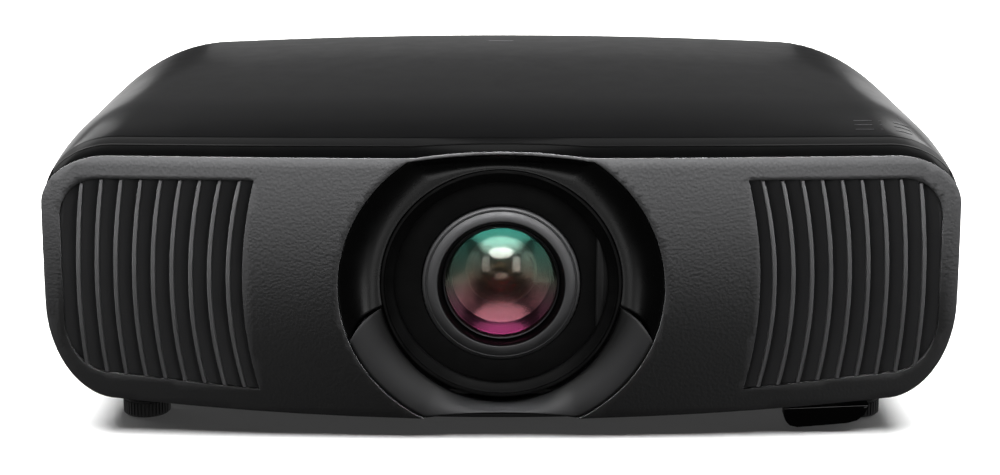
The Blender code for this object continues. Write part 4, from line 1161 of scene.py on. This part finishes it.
# ---------------------------------------------------------------- shutter and lens
def make_shutter():
    low, high = SHUTTER_LOW, SHUTTER_HIGH
    plate_top = LENS_HEIGHT + 0.064
    pitch, tall = 0.0032, high.z - plate_top
    outline = [(low.x, low.z), (high.x, low.z), (high.x, plate_top)]
    for i in range(int((high.x - low.x) / pitch) - 1):
        x = high.x - 0.002 - i * pitch
        outline += [(x, plate_top), (x - 0.0007, plate_top + tall), (x - 0.0011, plate_top + tall)]
        outline.append((x - 0.0018, plate_top))
    outline.append((low.x, plate_top))
    rings = []
    for depth in (low.y, high.y):
        rings.append([(x, depth, z) for x, z in outline])
    bm = bmesh.new()
    made = skin(bm, rings, around=True)
    for ring in made:
        bm.faces.new(ring)
    bmesh.ops.triangulate(bm, faces=[f for f in bm.faces if len(f.verts) > 4])
    piece("shutter_plate", bm, FINISH["shutter"], "shutter", ["lens_shutter"])
    lip = box_bm((low.x + 0.0006, low.y - 0.0002, LENS_HEIGHT - 0.0600),
                 (low.x + 0.0042, low.y + 0.0004, LENS_HEIGHT + 0.0600))
    piece("shutter_lip", lip, FINISH["vent"], "shutter", bevel=0.0002)


def turned(name, profile, finish, body, replaces=(), steps=128, sharp=30.0, centre=LENS_AXIS,
           closed=True):
    bm = bmesh.new()
    lathe(bm, profile, steps, centre, closed=closed)
    return piece(name, bm, FINISH[finish], body, replaces, sharp=sharp)


def lens_element(name, radius, apex, bulge, thick, back_bulge, finish, body, replaces=()):
    """A round glass with two curved faces; a positive bulge points forwards."""
    front = [(radius * i / 16, apex + bulge * (i / 16) ** 2) for i in range(17)]
    back = [(radius * i / 16, apex + thick + back_bulge * (i / 16) ** 2) for i in range(16, -1, -1)]
    return turned(name, front + back, finish, body, replaces, steps=96, sharp=40, closed=False)


def make_lens():
    f, ring = LENS_FRONT, LENS_RING_R
    profile = [
        (0.0369, f + 0.0006), (0.0371, f + 0.0001), (0.0375, f), (0.0424, f + 0.0010),
        (0.0428, f + 0.0012), (0.0430, f + 0.0016), (0.0431, f + 0.0025), (0.0437, f + 0.0025),
        (0.0438, f + 0.0016), (0.0440, f + 0.0013), (0.0451, f + 0.0016), (0.0455, f + 0.0019),
        (ring, f + 0.0024), (ring, f + 0.0075), (0.0366, f + 0.0075), (0.0366, f + 0.0010),
    ]
    turned("lens_face", profile, "ring", "vertical_shift", ["lens_face_ring"], steps=160)
    cone = [(0.0365, f + 0.0005), (0.0345, f + 0.0045), (0.0345, f + 0.0070), (0.0365, f + 0.0070)]
    turned("lens_face_cone", cone, "barrel", "vertical_shift")

    low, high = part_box("lens_mask")
    bm = bmesh.new()
    outline = resample(rounded_box((high.x - low.x) / 2, (high.z - low.z) / 2, 0.004,
                                   z=(high.z + low.z) / 2 - LENS_HEIGHT), 0.006)
    hole = arc(LENS_AXIS[0], LENS_AXIS[1] - LENS_HEIGHT, ring + 0.0006, 0, 360, 128)[:-1]
    panel(bm, outline, [hole], lambda x, z: low.y - FRONT, high.y - low.y, 0.0002, 0.006)
    piece("lens_mask_plate", bm, FINISH["mask"], "vertical_shift", ["lens_mask"])

    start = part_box("front_lens_cell")[0].y
    cell = [
        (0.0325, start + 0.0010), (0.0328, start + 0.0002), (0.0334, start), (0.0339, start + 0.0003),
        (0.0341, start + 0.0010), (0.0341, start + 0.0045), (0.0366, start + 0.0052),
        (0.0366, start + 0.0260), (0.0345, start + 0.0260), (0.0345, start + 0.0090),
        (0.0330, start + 0.0080), (0.0325, start + 0.0070),
    ]
    turned("front_cell_ring", cell, "barrel", "front_cell", ["front_lens_cell"])
    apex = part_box("front_lens_element")[0].y
    lens_element("front_glass", 0.0324, apex - 0.0004, 0.0054, 0.0115, -0.00525, "glass", "front_cell",
                 ["front_lens_element"])
    lens_element("second_glass", 0.0290, apex + 0.0125, 0.0070, 0.0135, -0.0056, "second glass", "front_cell")
    lens_element("third_glass", 0.0210, apex + 0.0275, 0.0063, 0.0180, -0.0110, "third glass", "front_cell")
    stations = [(0.0323, 0.0080), (0.0312, 0.0096), (0.0300, 0.0112), (0.0293, 0.0128), (0.0293, 0.0215)]
    stations += [(0.0284 - 0.0010 * i, 0.0222 + 0.0011 * i) for i in range(8)]
    baffle = []
    for radius, y in stations:
        baffle += [(radius, apex + y), (radius - 0.0002, apex + y + 0.0003)]
    baffle += [(0.0212, apex + 0.0345), (0.0212, apex + 0.0470), (0.0335, apex + 0.0470)]
    baffle.append((0.0335, apex + 0.0080))
    turned("inner_baffle", baffle, "mask", "front_cell")
    back = [(0.0, apex + 0.0475), (0.0230, apex + 0.0475), (0.0230, apex + 0.0490), (0.0, apex + 0.0490)]
    turned("lens_iris", back, "black", "front_cell", closed=False)
    for name, body in (("focus_ring", "focus"), ("zoom_ring", "zoom")):
        low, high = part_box(name)
        outer, inner = (high.x - low.x) / 2, 0.0403
        body_ring = [
            (outer - 0.0014, low.y), (outer - 0.0012, low.y + 0.0004), (outer - 0.0012, high.y - 0.0004),
            (outer - 0.0014, high.y), (inner, high.y), (inner, low.y),
        ]
        turned(name + "_body", body_ring, "nylon", body, [name])
        tooth = box_bm((-0.0006, -0.0008, low.y - high.y + 0.0016), (0.0012, 0.0008, -0.0004))
        place = Matrix.Translation((LENS_AXIS[0], low.y, LENS_AXIS[1])) @ Matrix.Rotation(pi / 2, 4, "X")
        values = {"Count": 72, "Radius": outer - 0.0012}
        repeated(name + "_grip", tooth, "ring", values, place, FINISH["nylon"], body)


# ---------------------------------------------------------------- sides, rear and feet
def side_panel(low, high, radius, side, holes=()):
    """A thin rounded plate on a side wall, with round holes given as (y, z, radius)."""
    bm = bmesh.new()
    middle, half = (low + high) / 2, (high - low) / 2
    loop = resample(rounded_box(half.y, half.z, radius, 8, middle.y, middle.z), 0.004)
    cuts = [arc(y, z, r, 0, 360, 48)[:-1] for y, z, r in holes]
    panel(bm, loop, cuts, lambda x, z: -FRONT, high.x - low.x, 0.0003, 0.005)
    outer = abs(high.x if side > 0 else low.x)
    for vert in bm.verts:
        across, away, up = vert.co
        vert.co = (side * HALF - side * (away + abs(side * HALF) - outer), across, up - LENS_HEIGHT)
    return bm


def key(name, node, body, inner=0.0):
    """A round key on the left side, softly dished."""
    low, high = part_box(node)
    centre = ((low.y + high.y) / 2, (low.z + high.z) / 2)
    radius, face = (high.y - low.y) / 2, low.x
    if inner:
        profile = [
            (radius - 0.0006, 0.0), (radius - 0.0002, 0.0001), (radius, 0.0005), (radius, high.x - low.x),
            (inner, high.x - low.x), (inner, 0.0005), (inner + 0.0002, 0.0001), (inner + 0.0006, 0.0),
            ((inner + radius) / 2, 0.0002),
        ]
    else:
        profile = [
            (0.0, 0.0003), (radius * 0.5, 0.0002), (radius - 0.0006, 0.0), (radius - 0.0002, 0.0001),
            (radius, 0.0005), (radius, high.x - low.x), (0.0, high.x - low.x),
        ]
    bm = bmesh.new()
    lathe(bm, profile, 56, (0.0, 0.0), closed=bool(inner))
    to_side = Matrix(((0, 1, 0, face), (1, 0, 0, centre[0]), (0, 0, 1, centre[1]), (0, 0, 0, 1)))
    bmesh.ops.transform(bm, matrix=to_side, verts=bm.verts)
    piece(name, bm, FINISH["button"], body, [node])
    return centre, face


def mark(name, loops, face, body):
    """Flat printed shapes on the left side, from outlines in (y, z)."""
    bm = bmesh.new()
    for loop in loops:
        made = skin(bm, [[(x, y, z) for y, z in loop] for x in (face - 0.00006, face + 0.0003)], True)
        for ring in made:
            bm.faces.new(ring)
    piece(name, bm, FINISH["print"], body)


def band(y, z, inner, outer, start, end, steps=20):
    """An arc-shaped outline of even width."""
    return arc(y, z, outer, start, end, steps) + arc(y, z, inner, end, start, steps)


def make_side_keys():
    low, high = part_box("control_panel")
    holes = []
    for node in ("power_button", "menu_button", "navigation_ring"):
        key_low, key_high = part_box(node)
        radius = (key_high.y - key_low.y) / 2 + 0.0003
        holes.append(((key_low.y + key_high.y) / 2, (key_low.z + key_high.z) / 2, radius))
    bm = side_panel(low, high, 0.0028, -1, holes)
    piece("key_plate", bm, FINISH["gloss"], replaces=["control_panel"])
    (y, z), face = key("power_key_cap", "power_button", "power_key")
    bar = [
        (y - 0.00025, z + 0.0004), (y + 0.00025, z + 0.0004), (y + 0.00025, z + 0.0026),
        (y - 0.00025, z + 0.0026),
    ]
    mark("power_mark", [band(y, z, 0.0017, 0.0022, 130, 410), bar], face + 0.0003, "power_key")
    (y, z), face = key("menu_key_cap", "menu_button", "menu_key")
    bars = []
    for rise in (-0.0010, 0.0, 0.0010):
        bars.append([(y - 0.0014, z + rise - 0.0002), (y + 0.0014, z + rise - 0.0002),
                     (y + 0.0014, z + rise + 0.0002), (y - 0.0014, z + rise + 0.0002)])
    mark("menu_mark", bars, face + 0.0003, "menu_key")
    (y, z), face = key("enter_key_cap", "enter_button", "enter_key")
    mark("enter_mark", [band(y, z, 0.0011, 0.0015, 0, 359)], face + 0.0003, "enter_key")
    (y, z), face = key("navigation_cap", "navigation_ring", "navigation_key", inner=0.0060)
    arrows = []
    for i in range(4):
        turn = pi / 2 * i
        points = ((0.0101, 0.0), (0.0088, 0.0010), (0.0088, -0.0010))
        arrows.append([
            (y + r * cos(turn) - s * sin(turn), z + r * sin(turn) + s * cos(turn)) for r, s in points
        ])
    mark("navigation_marks", arrows, face + 0.0002, "navigation_key")


def make_filter():
    low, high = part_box("filter_cover")
    bm = side_panel(low, high, 0.0028, 1)
    grooves = []
    for i in range(4):
        y = low.y + 0.0060 + 0.0026 * i
        groove = box_bm((high.x - 0.0006, y, low.z + 0.012), (high.x + 0.001, y + 0.0012, high.z - 0.012))
        grooves.append(helper(groove))
    piece("filter_door", bm, FINISH["lid"], "filter_drawer", ["filter_cover"], cutters=grooves)
    low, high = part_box("air_filter")
    frame_bm = bmesh.new()
    wall = 0.0020
    for y0, z0, y1, z1 in ((low.y, low.z, high.y, low.z + wall), (low.y, high.z - wall, high.y, high.z),
                           (low.y, low.z + wall, low.y + wall, high.z - wall),
                           (high.y - wall, low.z + wall, high.y, high.z - wall)):
        box_bm((low.x, y0, z0), (high.x, y1, z1), frame_bm)
    piece("filter_frame", frame_bm, FINISH["nylon"], "filter_drawer", merge=1e-7)
    pleat = bmesh.new()
    count = 26
    pitch = (high.y - low.y - 2 * wall - 0.0004) / count
    inside_z = high.z - low.z - 2 * wall - 0.0004
    thick = 0.0004
    deep = high.x - low.x - 0.0016
    line = [(0.0, -pitch / 2), (deep, 0.0), (0.0, pitch / 2)]
    rings = []
    for z in (-inside_z / 2, inside_z / 2):
        rings.append([(x, y, z) for x, y in line] + [(x + thick, y, z) for x, y in reversed(line)])
    made = skin(pleat, rings, around=True)
    for ring in made:
        pleat.faces.new(ring)
    centre = (low + high) / 2
    values = {"Columns": 2, "Rows": count, "Column Pitch": 0.0006, "Row Pitch": pitch}
    place = Matrix.Translation((low.x + 0.0004, centre.y, centre.z))
    repeated("filter_pleats", pleat, "grid", values, place, FINISH["filter"], "filter_drawer",
             ["air_filter"])


def framed_tube(bm, loop_out, loop_in, y0, y1, floor):
    """A socket shell: an outer wall, an inner wall and a floor between them."""
    rings = [[(x, y1, z) for x, z in loop_out], [(x, y0, z) for x, z in loop_out]]
    rings = [[(x, floor, z) for x, z in loop_in], [(x, y0, z) for x, z in loop_in]] + rings[::-1]
    made = skin(bm, rings, around=True)
    bm.faces.new(made[0])
    bm.faces.new(made[-1])


def make_terminals():
    low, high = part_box("terminal_plate")
    centre = (low + high) / 2
    bm = bmesh.new()
    loop = resample(rounded_box((high.x - low.x) / 2, (high.z - low.z) / 2, 0.0018, 6, centre.x,
                                centre.z - LENS_HEIGHT), 0.004)
    holes = []
    names = ("hdmi_socket_1", "hdmi_socket_2", "network_socket")
    for name in names:
        a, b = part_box(name)
        holes.append(rounded_box((b.x - a.x) / 2 + 0.0003, (b.z - a.z) / 2 + 0.0003, 0.0009, 4,
                                 (a.x + b.x) / 2, (a.z + b.z) / 2 - LENS_HEIGHT))
    panel(bm, loop, holes, lambda x, z: 0.0, high.y - low.y, 0.0002, 0.004)
    turn_round(bm, high.y)
    piece("terminal_face", bm, FINISH["gloss"], replaces=["terminal_plate"])
    for name in names:
        a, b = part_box(name)
        x, z = (a.x + b.x) / 2, (a.z + b.z) / 2
        half_x, half_z = (b.x - a.x) / 2, (b.z - a.z) / 2
        wall = 0.0007
        tube = bmesh.new()
        framed_tube(tube, rounded_box(half_x, half_z, 0.0008, 4, x, z),
                    rounded_box(half_x - wall, half_z - wall, 0.0004, 4, x, z), b.y, a.y, a.y + 0.0012)
        piece(name + "_shell", tube, FINISH["socket"], replaces=[name])
        tongue = bmesh.new()
        if name == "network_socket":
            box_bm((x - half_x + wall + 0.0008, a.y + 0.0012, z + half_z - wall - 0.0022),
                   (x + half_x - wall - 0.0008, b.y - 0.0030, z + half_z - wall - 0.0004), tongue)
        else:
            box_bm((x - half_x + wall + 0.0012, a.y + 0.0012, z - 0.0006),
                   (x + half_x - wall - 0.0012, b.y - 0.0018, z + 0.0008), tongue)
        piece(name + "_tongue", tongue, FINISH["nylon"], bevel=0.0002)
    for number, x in enumerate((-0.030, -0.012, 0.012)):
        jack = [(0.0017, 0.0), (0.0042, 0.0), (0.0045, 0.0003), (0.0045, 0.0011), (0.0017, 0.0011)]
        profile = [(r, high.y + 0.0002 - y + 0.0007) for r, y in jack]
        turned(f"service_jack_{number + 1}", profile, "socket", CHASSIS, steps=40,
               centre=(x, centre.z))
    screws("terminal_screws", (2, 1), (0.205, 0.01), (centre.x, high.y - 0.0003, centre.z),
           Matrix.Rotation(-pi / 2, 4, "X"))
    a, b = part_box("power_inlet")
    x, z = (a.x + b.x) / 2, (a.z + b.z) / 2
    half_x, half_z = (b.x - a.x) / 2, (b.z - a.z) / 2
    inlet = bmesh.new()
    framed_tube(inlet, rounded_box(half_x, half_z, 0.0015, 5, x, z),
                rounded_box(half_x - 0.0020, half_z - 0.0020, 0.0035, 5, x, z), b.y, a.y, a.y + 0.002)
    piece("inlet_shell", inlet, FINISH["nylon"], replaces=["power_inlet"])
    pins = bmesh.new()
    for dx, dz in ((-0.0070, -0.0025), (0.0, 0.0030), (0.0070, -0.0025)):
        near = (x + dx - 0.0010, a.y + 0.002, z + dz - 0.0020)
        far = (x + dx + 0.0010, b.y - 0.0030, z + dz + 0.0020)
        box_bm(near, far, pins)
    piece("inlet_pins", pins, FINISH["steel"], bevel=0.0003, merge=1e-7)


def turn_round(bm, y):
    """Turns a plate made facing forwards so that it faces backwards, with its face at y."""
    for vert in bm.verts:
        vert.co.y = y - (vert.co.y - FRONT)


def make_feet():
    for side in ("left", "right"):
        low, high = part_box("front_foot_" + side)
        centre, radius = (low + high) / 2, (high.x - low.x) / 2
        tall = high.z - low.z
        profile = [
            (0.0, 0.0), (radius - 0.0022, 0.0), (radius - 0.0014, 0.0003), (radius - 0.0010, 0.0012),
            (radius - 0.0010, tall - 0.0012), (radius - 0.0014, tall - 0.0004), (radius - 0.0024, tall),
            (0.0, tall),
        ]
        foot_piece("foot_disc_" + side, profile, centre, low.z, "rubber", side + "_foot_disc",
                   ["front_foot_" + side])
        rib = box_bm((-0.0008, -0.0006, 0.0014), (0.0009, 0.0006, tall - 0.0014))
        values = {"Count": 40, "Radius": radius - 0.0010}
        place = Matrix.Translation((centre.x, centre.y, low.z))
        disc = side + "_foot_disc"
        repeated("foot_grip_" + side, rib, "ring", values, place, FINISH["rubber"], disc)
        low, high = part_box("foot_post_" + side)
        centre, radius = (low + high) / 2, (high.x - low.x) / 2
        profile, turns = [(0.0, 0.0)], int((high.z - low.z) / 0.0015)
        for i in range(turns):
            profile += [(radius - 0.0005, 0.0015 * i), (radius, 0.0015 * i + 0.00075)]
        profile += [(radius - 0.0005, 0.0015 * turns), (0.0, 0.0015 * turns)]
        foot_piece("foot_thread_" + side, profile, centre, low.z, "steel", side + "_foot",
                   ["foot_post_" + side])
        low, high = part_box("rear_foot_" + side)
        centre, radius, tall = (low + high) / 2, (high.x - low.x) / 2, high.z - low.z
        profile = [
            (0.0, 0.0), (radius - 0.0015, 0.0), (radius - 0.0004, 0.0004), (radius, 0.0014),
            (radius, tall), (0.0, tall),
        ]
        foot_piece("rear_pad_" + side, profile, centre, low.z, "rubber", CHASSIS,
                   ["rear_foot_" + side])


def foot_piece(name, profile, centre, floor, finish, body, replaces):
    bm = bmesh.new()
    lathe(bm, profile, 64, (0.0, 0.0), closed=False)
    upright = Matrix(((1, 0, 0, centre.x), (0, 0, -1, centre.y), (0, 1, 0, floor), (0, 0, 0, 1)))
    bmesh.ops.transform(bm, matrix=upright, verts=bm.verts)
    piece(name, bm, FINISH[finish], body, replaces)


def make_receiver():
    """The smoked block of the remote receiver, hung under the right end."""
    low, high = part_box("remote_window")
    points = [
        (0.1640, -0.0710), (0.1640, -0.0790), (0.1652, -0.0828), (0.1676, -0.0853), (0.1720, -0.0863),
        (0.1870, -0.0851), (0.2010, -0.0838), (0.2065, -0.0822), (0.2105, -0.0790), (0.2124, -0.0750),
        (0.2130, -0.0700),
    ]
    back = high.y - FRONT
    loop = resample([(x, min(z, belly(x, back) - 0.0003)) for x, z in points], 0.0015)
    bm = bmesh.new()
    panel(bm, loop, [], lambda x, z: low.y - FRONT, high.y - low.y, 0.0005, 0.002)
    piece("receiver_window", bm, FINISH["window"], replaces=["remote_window"])


def make_trim():
    """Small printed marks: two sets of three strokes with dots between them, and a bar on the lid's rear."""
    corners = ((-0.0003, 0.0001), (0.0003, 0.0001), (0.0003, -0.0004), (-0.0003, -0.0004))
    bm = bmesh.new()
    for i in range(3):
        depth = 0.0175 + 0.0043 * i
        for x0, x1 in ((0.2005, 0.2110), (0.2150, 0.2164), (0.2235, 0.2330)):
            rings = []
            for k in range(9):
                x = x0 + (x1 - x0) * k / 8
                z = shoulder_height(x, depth)
                rings.append([spot(x, at_front(x, z, depth) + away, z + lift) for away, lift in corners])
            made = skin(bm, rings, around=True)
            bm.faces.new(made[0])
            bm.faces.new(made[-1])
    piece("shoulder_marks", bm, FINISH["print"], merge=1e-8)
    bar = bmesh.new()
    loop = rounded_box(0.0080, 0.0011, 0.0009, 5)
    rings = []
    for lift in (-0.0004, 0.00008):
        rings.append([
            spot(x, 0.216 + y, lid_height(0.216 + y) - x * x / (2 * CROWN_RADIUS) + lift) for x, y in loop
        ])
    made = skin(bar, rings, around=True)
    for ring in made:
        bar.faces.new(ring)
    piece("lid_bar", bar, FINISH["print"])


def shoulder_height(x, depth):
    """Height of the lid's surface at x and depth."""
    section = [p for p in upper_section(depth) if p[1] > SHOULDER_SPRING]
    section.sort()
    for (xa, za), (xb, zb) in zip(section, section[1:]):
        if xa <= x <= xb and xb > xa:
            return za + (zb - za) * (x - xa) / (xb - xa)
    return lid_height(depth)


def finish_kept_nodes():
    """The solids that stay in view take their finishes by slot."""
    other = {"glass": "prism"}
    for entry in frame["record"]["subparts"]:
        slot = entry["material_slot"]
        for holder in frame["nodes"][entry["node"]].material_slots:
            holder.material = FINISH[other.get(slot, slot)]


# ---------------------------------------------------------------- studio
def light(name, place, aim, size, power, diffuse=True, glossy=True, only=(), spare=(), shape="RECTANGLE"):
    """An area light; it may reach only some pieces, or spare some, as a studio flag does."""
    data = bpy.data.lights.new(name, "AREA")
    data.shape = shape
    data.size, data.size_y = size
    data.energy = power
    obj = bpy.data.objects.new(name, data)
    bpy.context.scene.collection.objects.link(obj)
    obj.location = place
    obj.rotation_euler = (Vector(aim) - Vector(place)).to_track_quat("-Z", "Y").to_euler()
    obj.visible_camera = False
    obj.visible_diffuse = diffuse
    obj.visible_glossy = glossy
    if only or spare:
        flags = bpy.data.collections.new(name + " flags")
        for piece_name in only or spare:
            flags.objects.link(bpy.data.objects[piece_name])
        for flag in flags.collection_objects:
            flag.light_linking.link_state = "INCLUDE" if only else "EXCLUDE"
        obj.light_linking.receiver_collection = flags
    return obj


def make_studio():
    bm = bmesh.new()
    bmesh.ops.create_grid(bm, x_segments=2, y_segments=2, size=6.0)
    mesh = bpy.data.meshes.new("floor")
    bm.to_mesh(mesh)
    bm.free()
    floor = bpy.data.objects.new("floor", mesh)
    bpy.context.scene.collection.objects.link(floor)
    floor.visible_glossy = False
    floor.visible_diffuse = False
    floor.visible_shadow = False
    mat, tree, shader, coord = nodes_of("studio floor")
    shader.inputs["Roughness"].default_value = 0.9
    shader.inputs["Specular IOR Level"].default_value = 0.0
    tone = spread(tree, noise(tree, coord, 3.0), 0.0, 1.0)
    tree.links.new(tint(tree, tone, (0.93, 0.93, 0.93), (0.95, 0.95, 0.95)), shader.inputs["Base Color"])
    # Painted light: the floor glows faintly near the object, lifting its shadow as fill light would, and more
    # strongly farther out, up to white.
    shader.inputs["Emission Color"].default_value = (1.0, 1.0, 1.0, 1.0)
    away = tree.nodes.new("ShaderNodeVectorMath")
    away.operation = "LENGTH"
    tree.links.new(coord.outputs["Object"], away.inputs[0])
    painted_floor_glow = spread(tree, away.outputs["Value"], 0.03, 1.0, 0.9, 2.2)
    tree.links.new(painted_floor_glow, shader.inputs["Emission Strength"])
    mesh.materials.append(mat)

    world = bpy.data.worlds.new("studio")
    bpy.context.scene.world = world
    world.use_nodes = True
    tree = world.node_tree
    seen = tree.nodes["Background"]
    seen.inputs["Color"].default_value = (1.0, 1.0, 1.0, 1.0)
    seen.inputs["Strength"].default_value = 1.05
    felt = tree.nodes.new("ShaderNodeBackground")
    felt.inputs["Color"].default_value = (1.0, 1.0, 1.0, 1.0)
    felt.inputs["Strength"].default_value = 0.02
    path = tree.nodes.new("ShaderNodeLightPath")
    choice = tree.nodes.new("ShaderNodeMixShader")
    tree.links.new(path.outputs["Is Camera Ray"], choice.inputs[0])
    tree.links.new(felt.outputs[0], choice.inputs[1])
    tree.links.new(seen.outputs[0], choice.inputs[2])
    tree.links.new(choice.outputs[0], tree.nodes["World Output"].inputs["Surface"])

    lens, lid = (0.0, FRONT, LENS_HEIGHT), (0.0, 0.0, 0.19)
    vents = ("left_vent_ribs", "right_vent_ribs", "left_vent_louvres", "right_vent_louvres")
    grazed = vents + ("fascia_skin", "chin_plate")
    light("floor key", (0.0, -0.10, 2.2), (0.0, -0.10, 0.0), (3.4, 3.4), 245, glossy=False, only=("floor",))
    light("overhead soft", (0.0, 0.95, 2.0), (0.0, 0.95, 0.0), (3.0, 2.3), 90, glossy=False)
    light("grazing bar", (0.0, FRONT - 0.016, 1.5), lens, (2.2, 0.07), 250, glossy=False, only=grazed)
    for side, name in ((-1, "left"), (1, "right")):
        light(name + " edge bar", (side * 1.3, FRONT, 0.08), lens, (0.1, 0.5), 12, glossy=False,
              only=("fascia_skin",))
        light(name + " front", (side * 0.90, -1.75, 0.05), lens, (0.45, 0.90), 1.6 + 0.4 * side,
              diffuse=False)
        light(name + " well", (side * 0.28, -1.75, -0.25), lens, (0.30, 0.50), 0.45, diffuse=False,
              only=("well_funnel",))
        light(name + " back panel", (side * 1.35, 2.3, 0.25), lid, (1.0, 1.1), 3.2, diffuse=False)
        light(name + " side panel", (side * 2.20, 1.3, 1.10), lid, (1.6, 1.8), 10.0 + 2.0 * side)
        light(name + " shoulder panel", (side * 1.36, 1.36, 1.72), (side * 0.23, -0.2, 0.18), (0.7, 1.2),
              4.8 + 1.0 * side, diffuse=False)
        light(name + " brow end", (side * 0.95, -0.10, 1.75), (side * 0.24, -0.2, 0.17), (0.7, 1.1),
              2.6, diffuse=False, only=("brow_strip",))
        light(name + " top side panel", (side * 1.90, -0.1, 1.90), lid, (1.3, 1.2), 6.5 + 1.5 * side,
              diffuse=False)
    front_parts = grazed + ("floor", "well_funnel", "brow_strip", "receiver_window", "well_ring")
    for place, name in (((-1.5, 0.1, -0.5), "left"), ((1.5, 0.1, -0.5), "right"), ((0.0, 1.7, -0.5), "rear")):
        light(name + " floor bounce", place, (0.0, 0.0, 0.10), (2.4, 1.2), 6.0, spare=front_parts)
    for place, name in (((-2.0, 0.3, 0.9), "left"), ((2.0, 0.3, 0.9), "right"), ((0.3, 2.2, 0.9), "rear")):
        light(name + " wall soft", place, (0.0, 0.0, 0.10), (1.6, 1.0), 16.0, glossy=False, spare=front_parts)
    light("vent fill", (0.0, -1.80, 0.55), lens, (1.5, 0.5), 14, glossy=False, only=vents)
    light("front panel", (0.0, -1.75, 0.72), lens, (1.4, 0.58), 9, diffuse=False, spare=("brow_strip",),
          shape="ELLIPSE")
    light("low front", (0.0, -1.60, -0.85), lens, (0.55, 0.45), 1.0, diffuse=False, only=("well_funnel",))
    light("back panel", (0.0, 2.6, 0.20), lid, (1.2, 1.3), 1.0, diffuse=False)
    light("high back panel", (0.0, 2.0, 1.7), lid, (3.0, 2.0), 2.3, diffuse=False)
    light("brow strip light", (0.0, -0.65, 1.6), lid, (2.4, 0.7), 2.2, diffuse=False, only=("brow_strip",))
    bpy.context.scene.cycles.transparent_max_bounces = 20
    bpy.context.scene.view_settings.view_transform = "Standard"


def make_camera():
    data = bpy.data.cameras.new("camera")
    data.lens, data.sensor_width, data.sensor_fit = 73.37, 36.0, "HORIZONTAL"
    data.clip_start, data.clip_end = 0.05, 50.0
    obj = bpy.data.objects.new("camera", data)
    bpy.context.scene.collection.objects.link(obj)
    obj.location = (-0.0007, FRONT - 1.112, LENS_HEIGHT + 0.28764)
    obj.rotation_euler = (radians(90 - 13.01), 0.0, 0.0)
    bpy.context.scene.camera = obj


make_camera()
finish_kept_nodes()
make_top_cover()
make_base()
make_rear()
make_brow()
make_fascia()
make_vents()
make_well()
make_shutter()
make_lens()
make_side_keys()
make_filter()
make_terminals()
make_feet()
make_receiver()
make_trim()
make_studio()
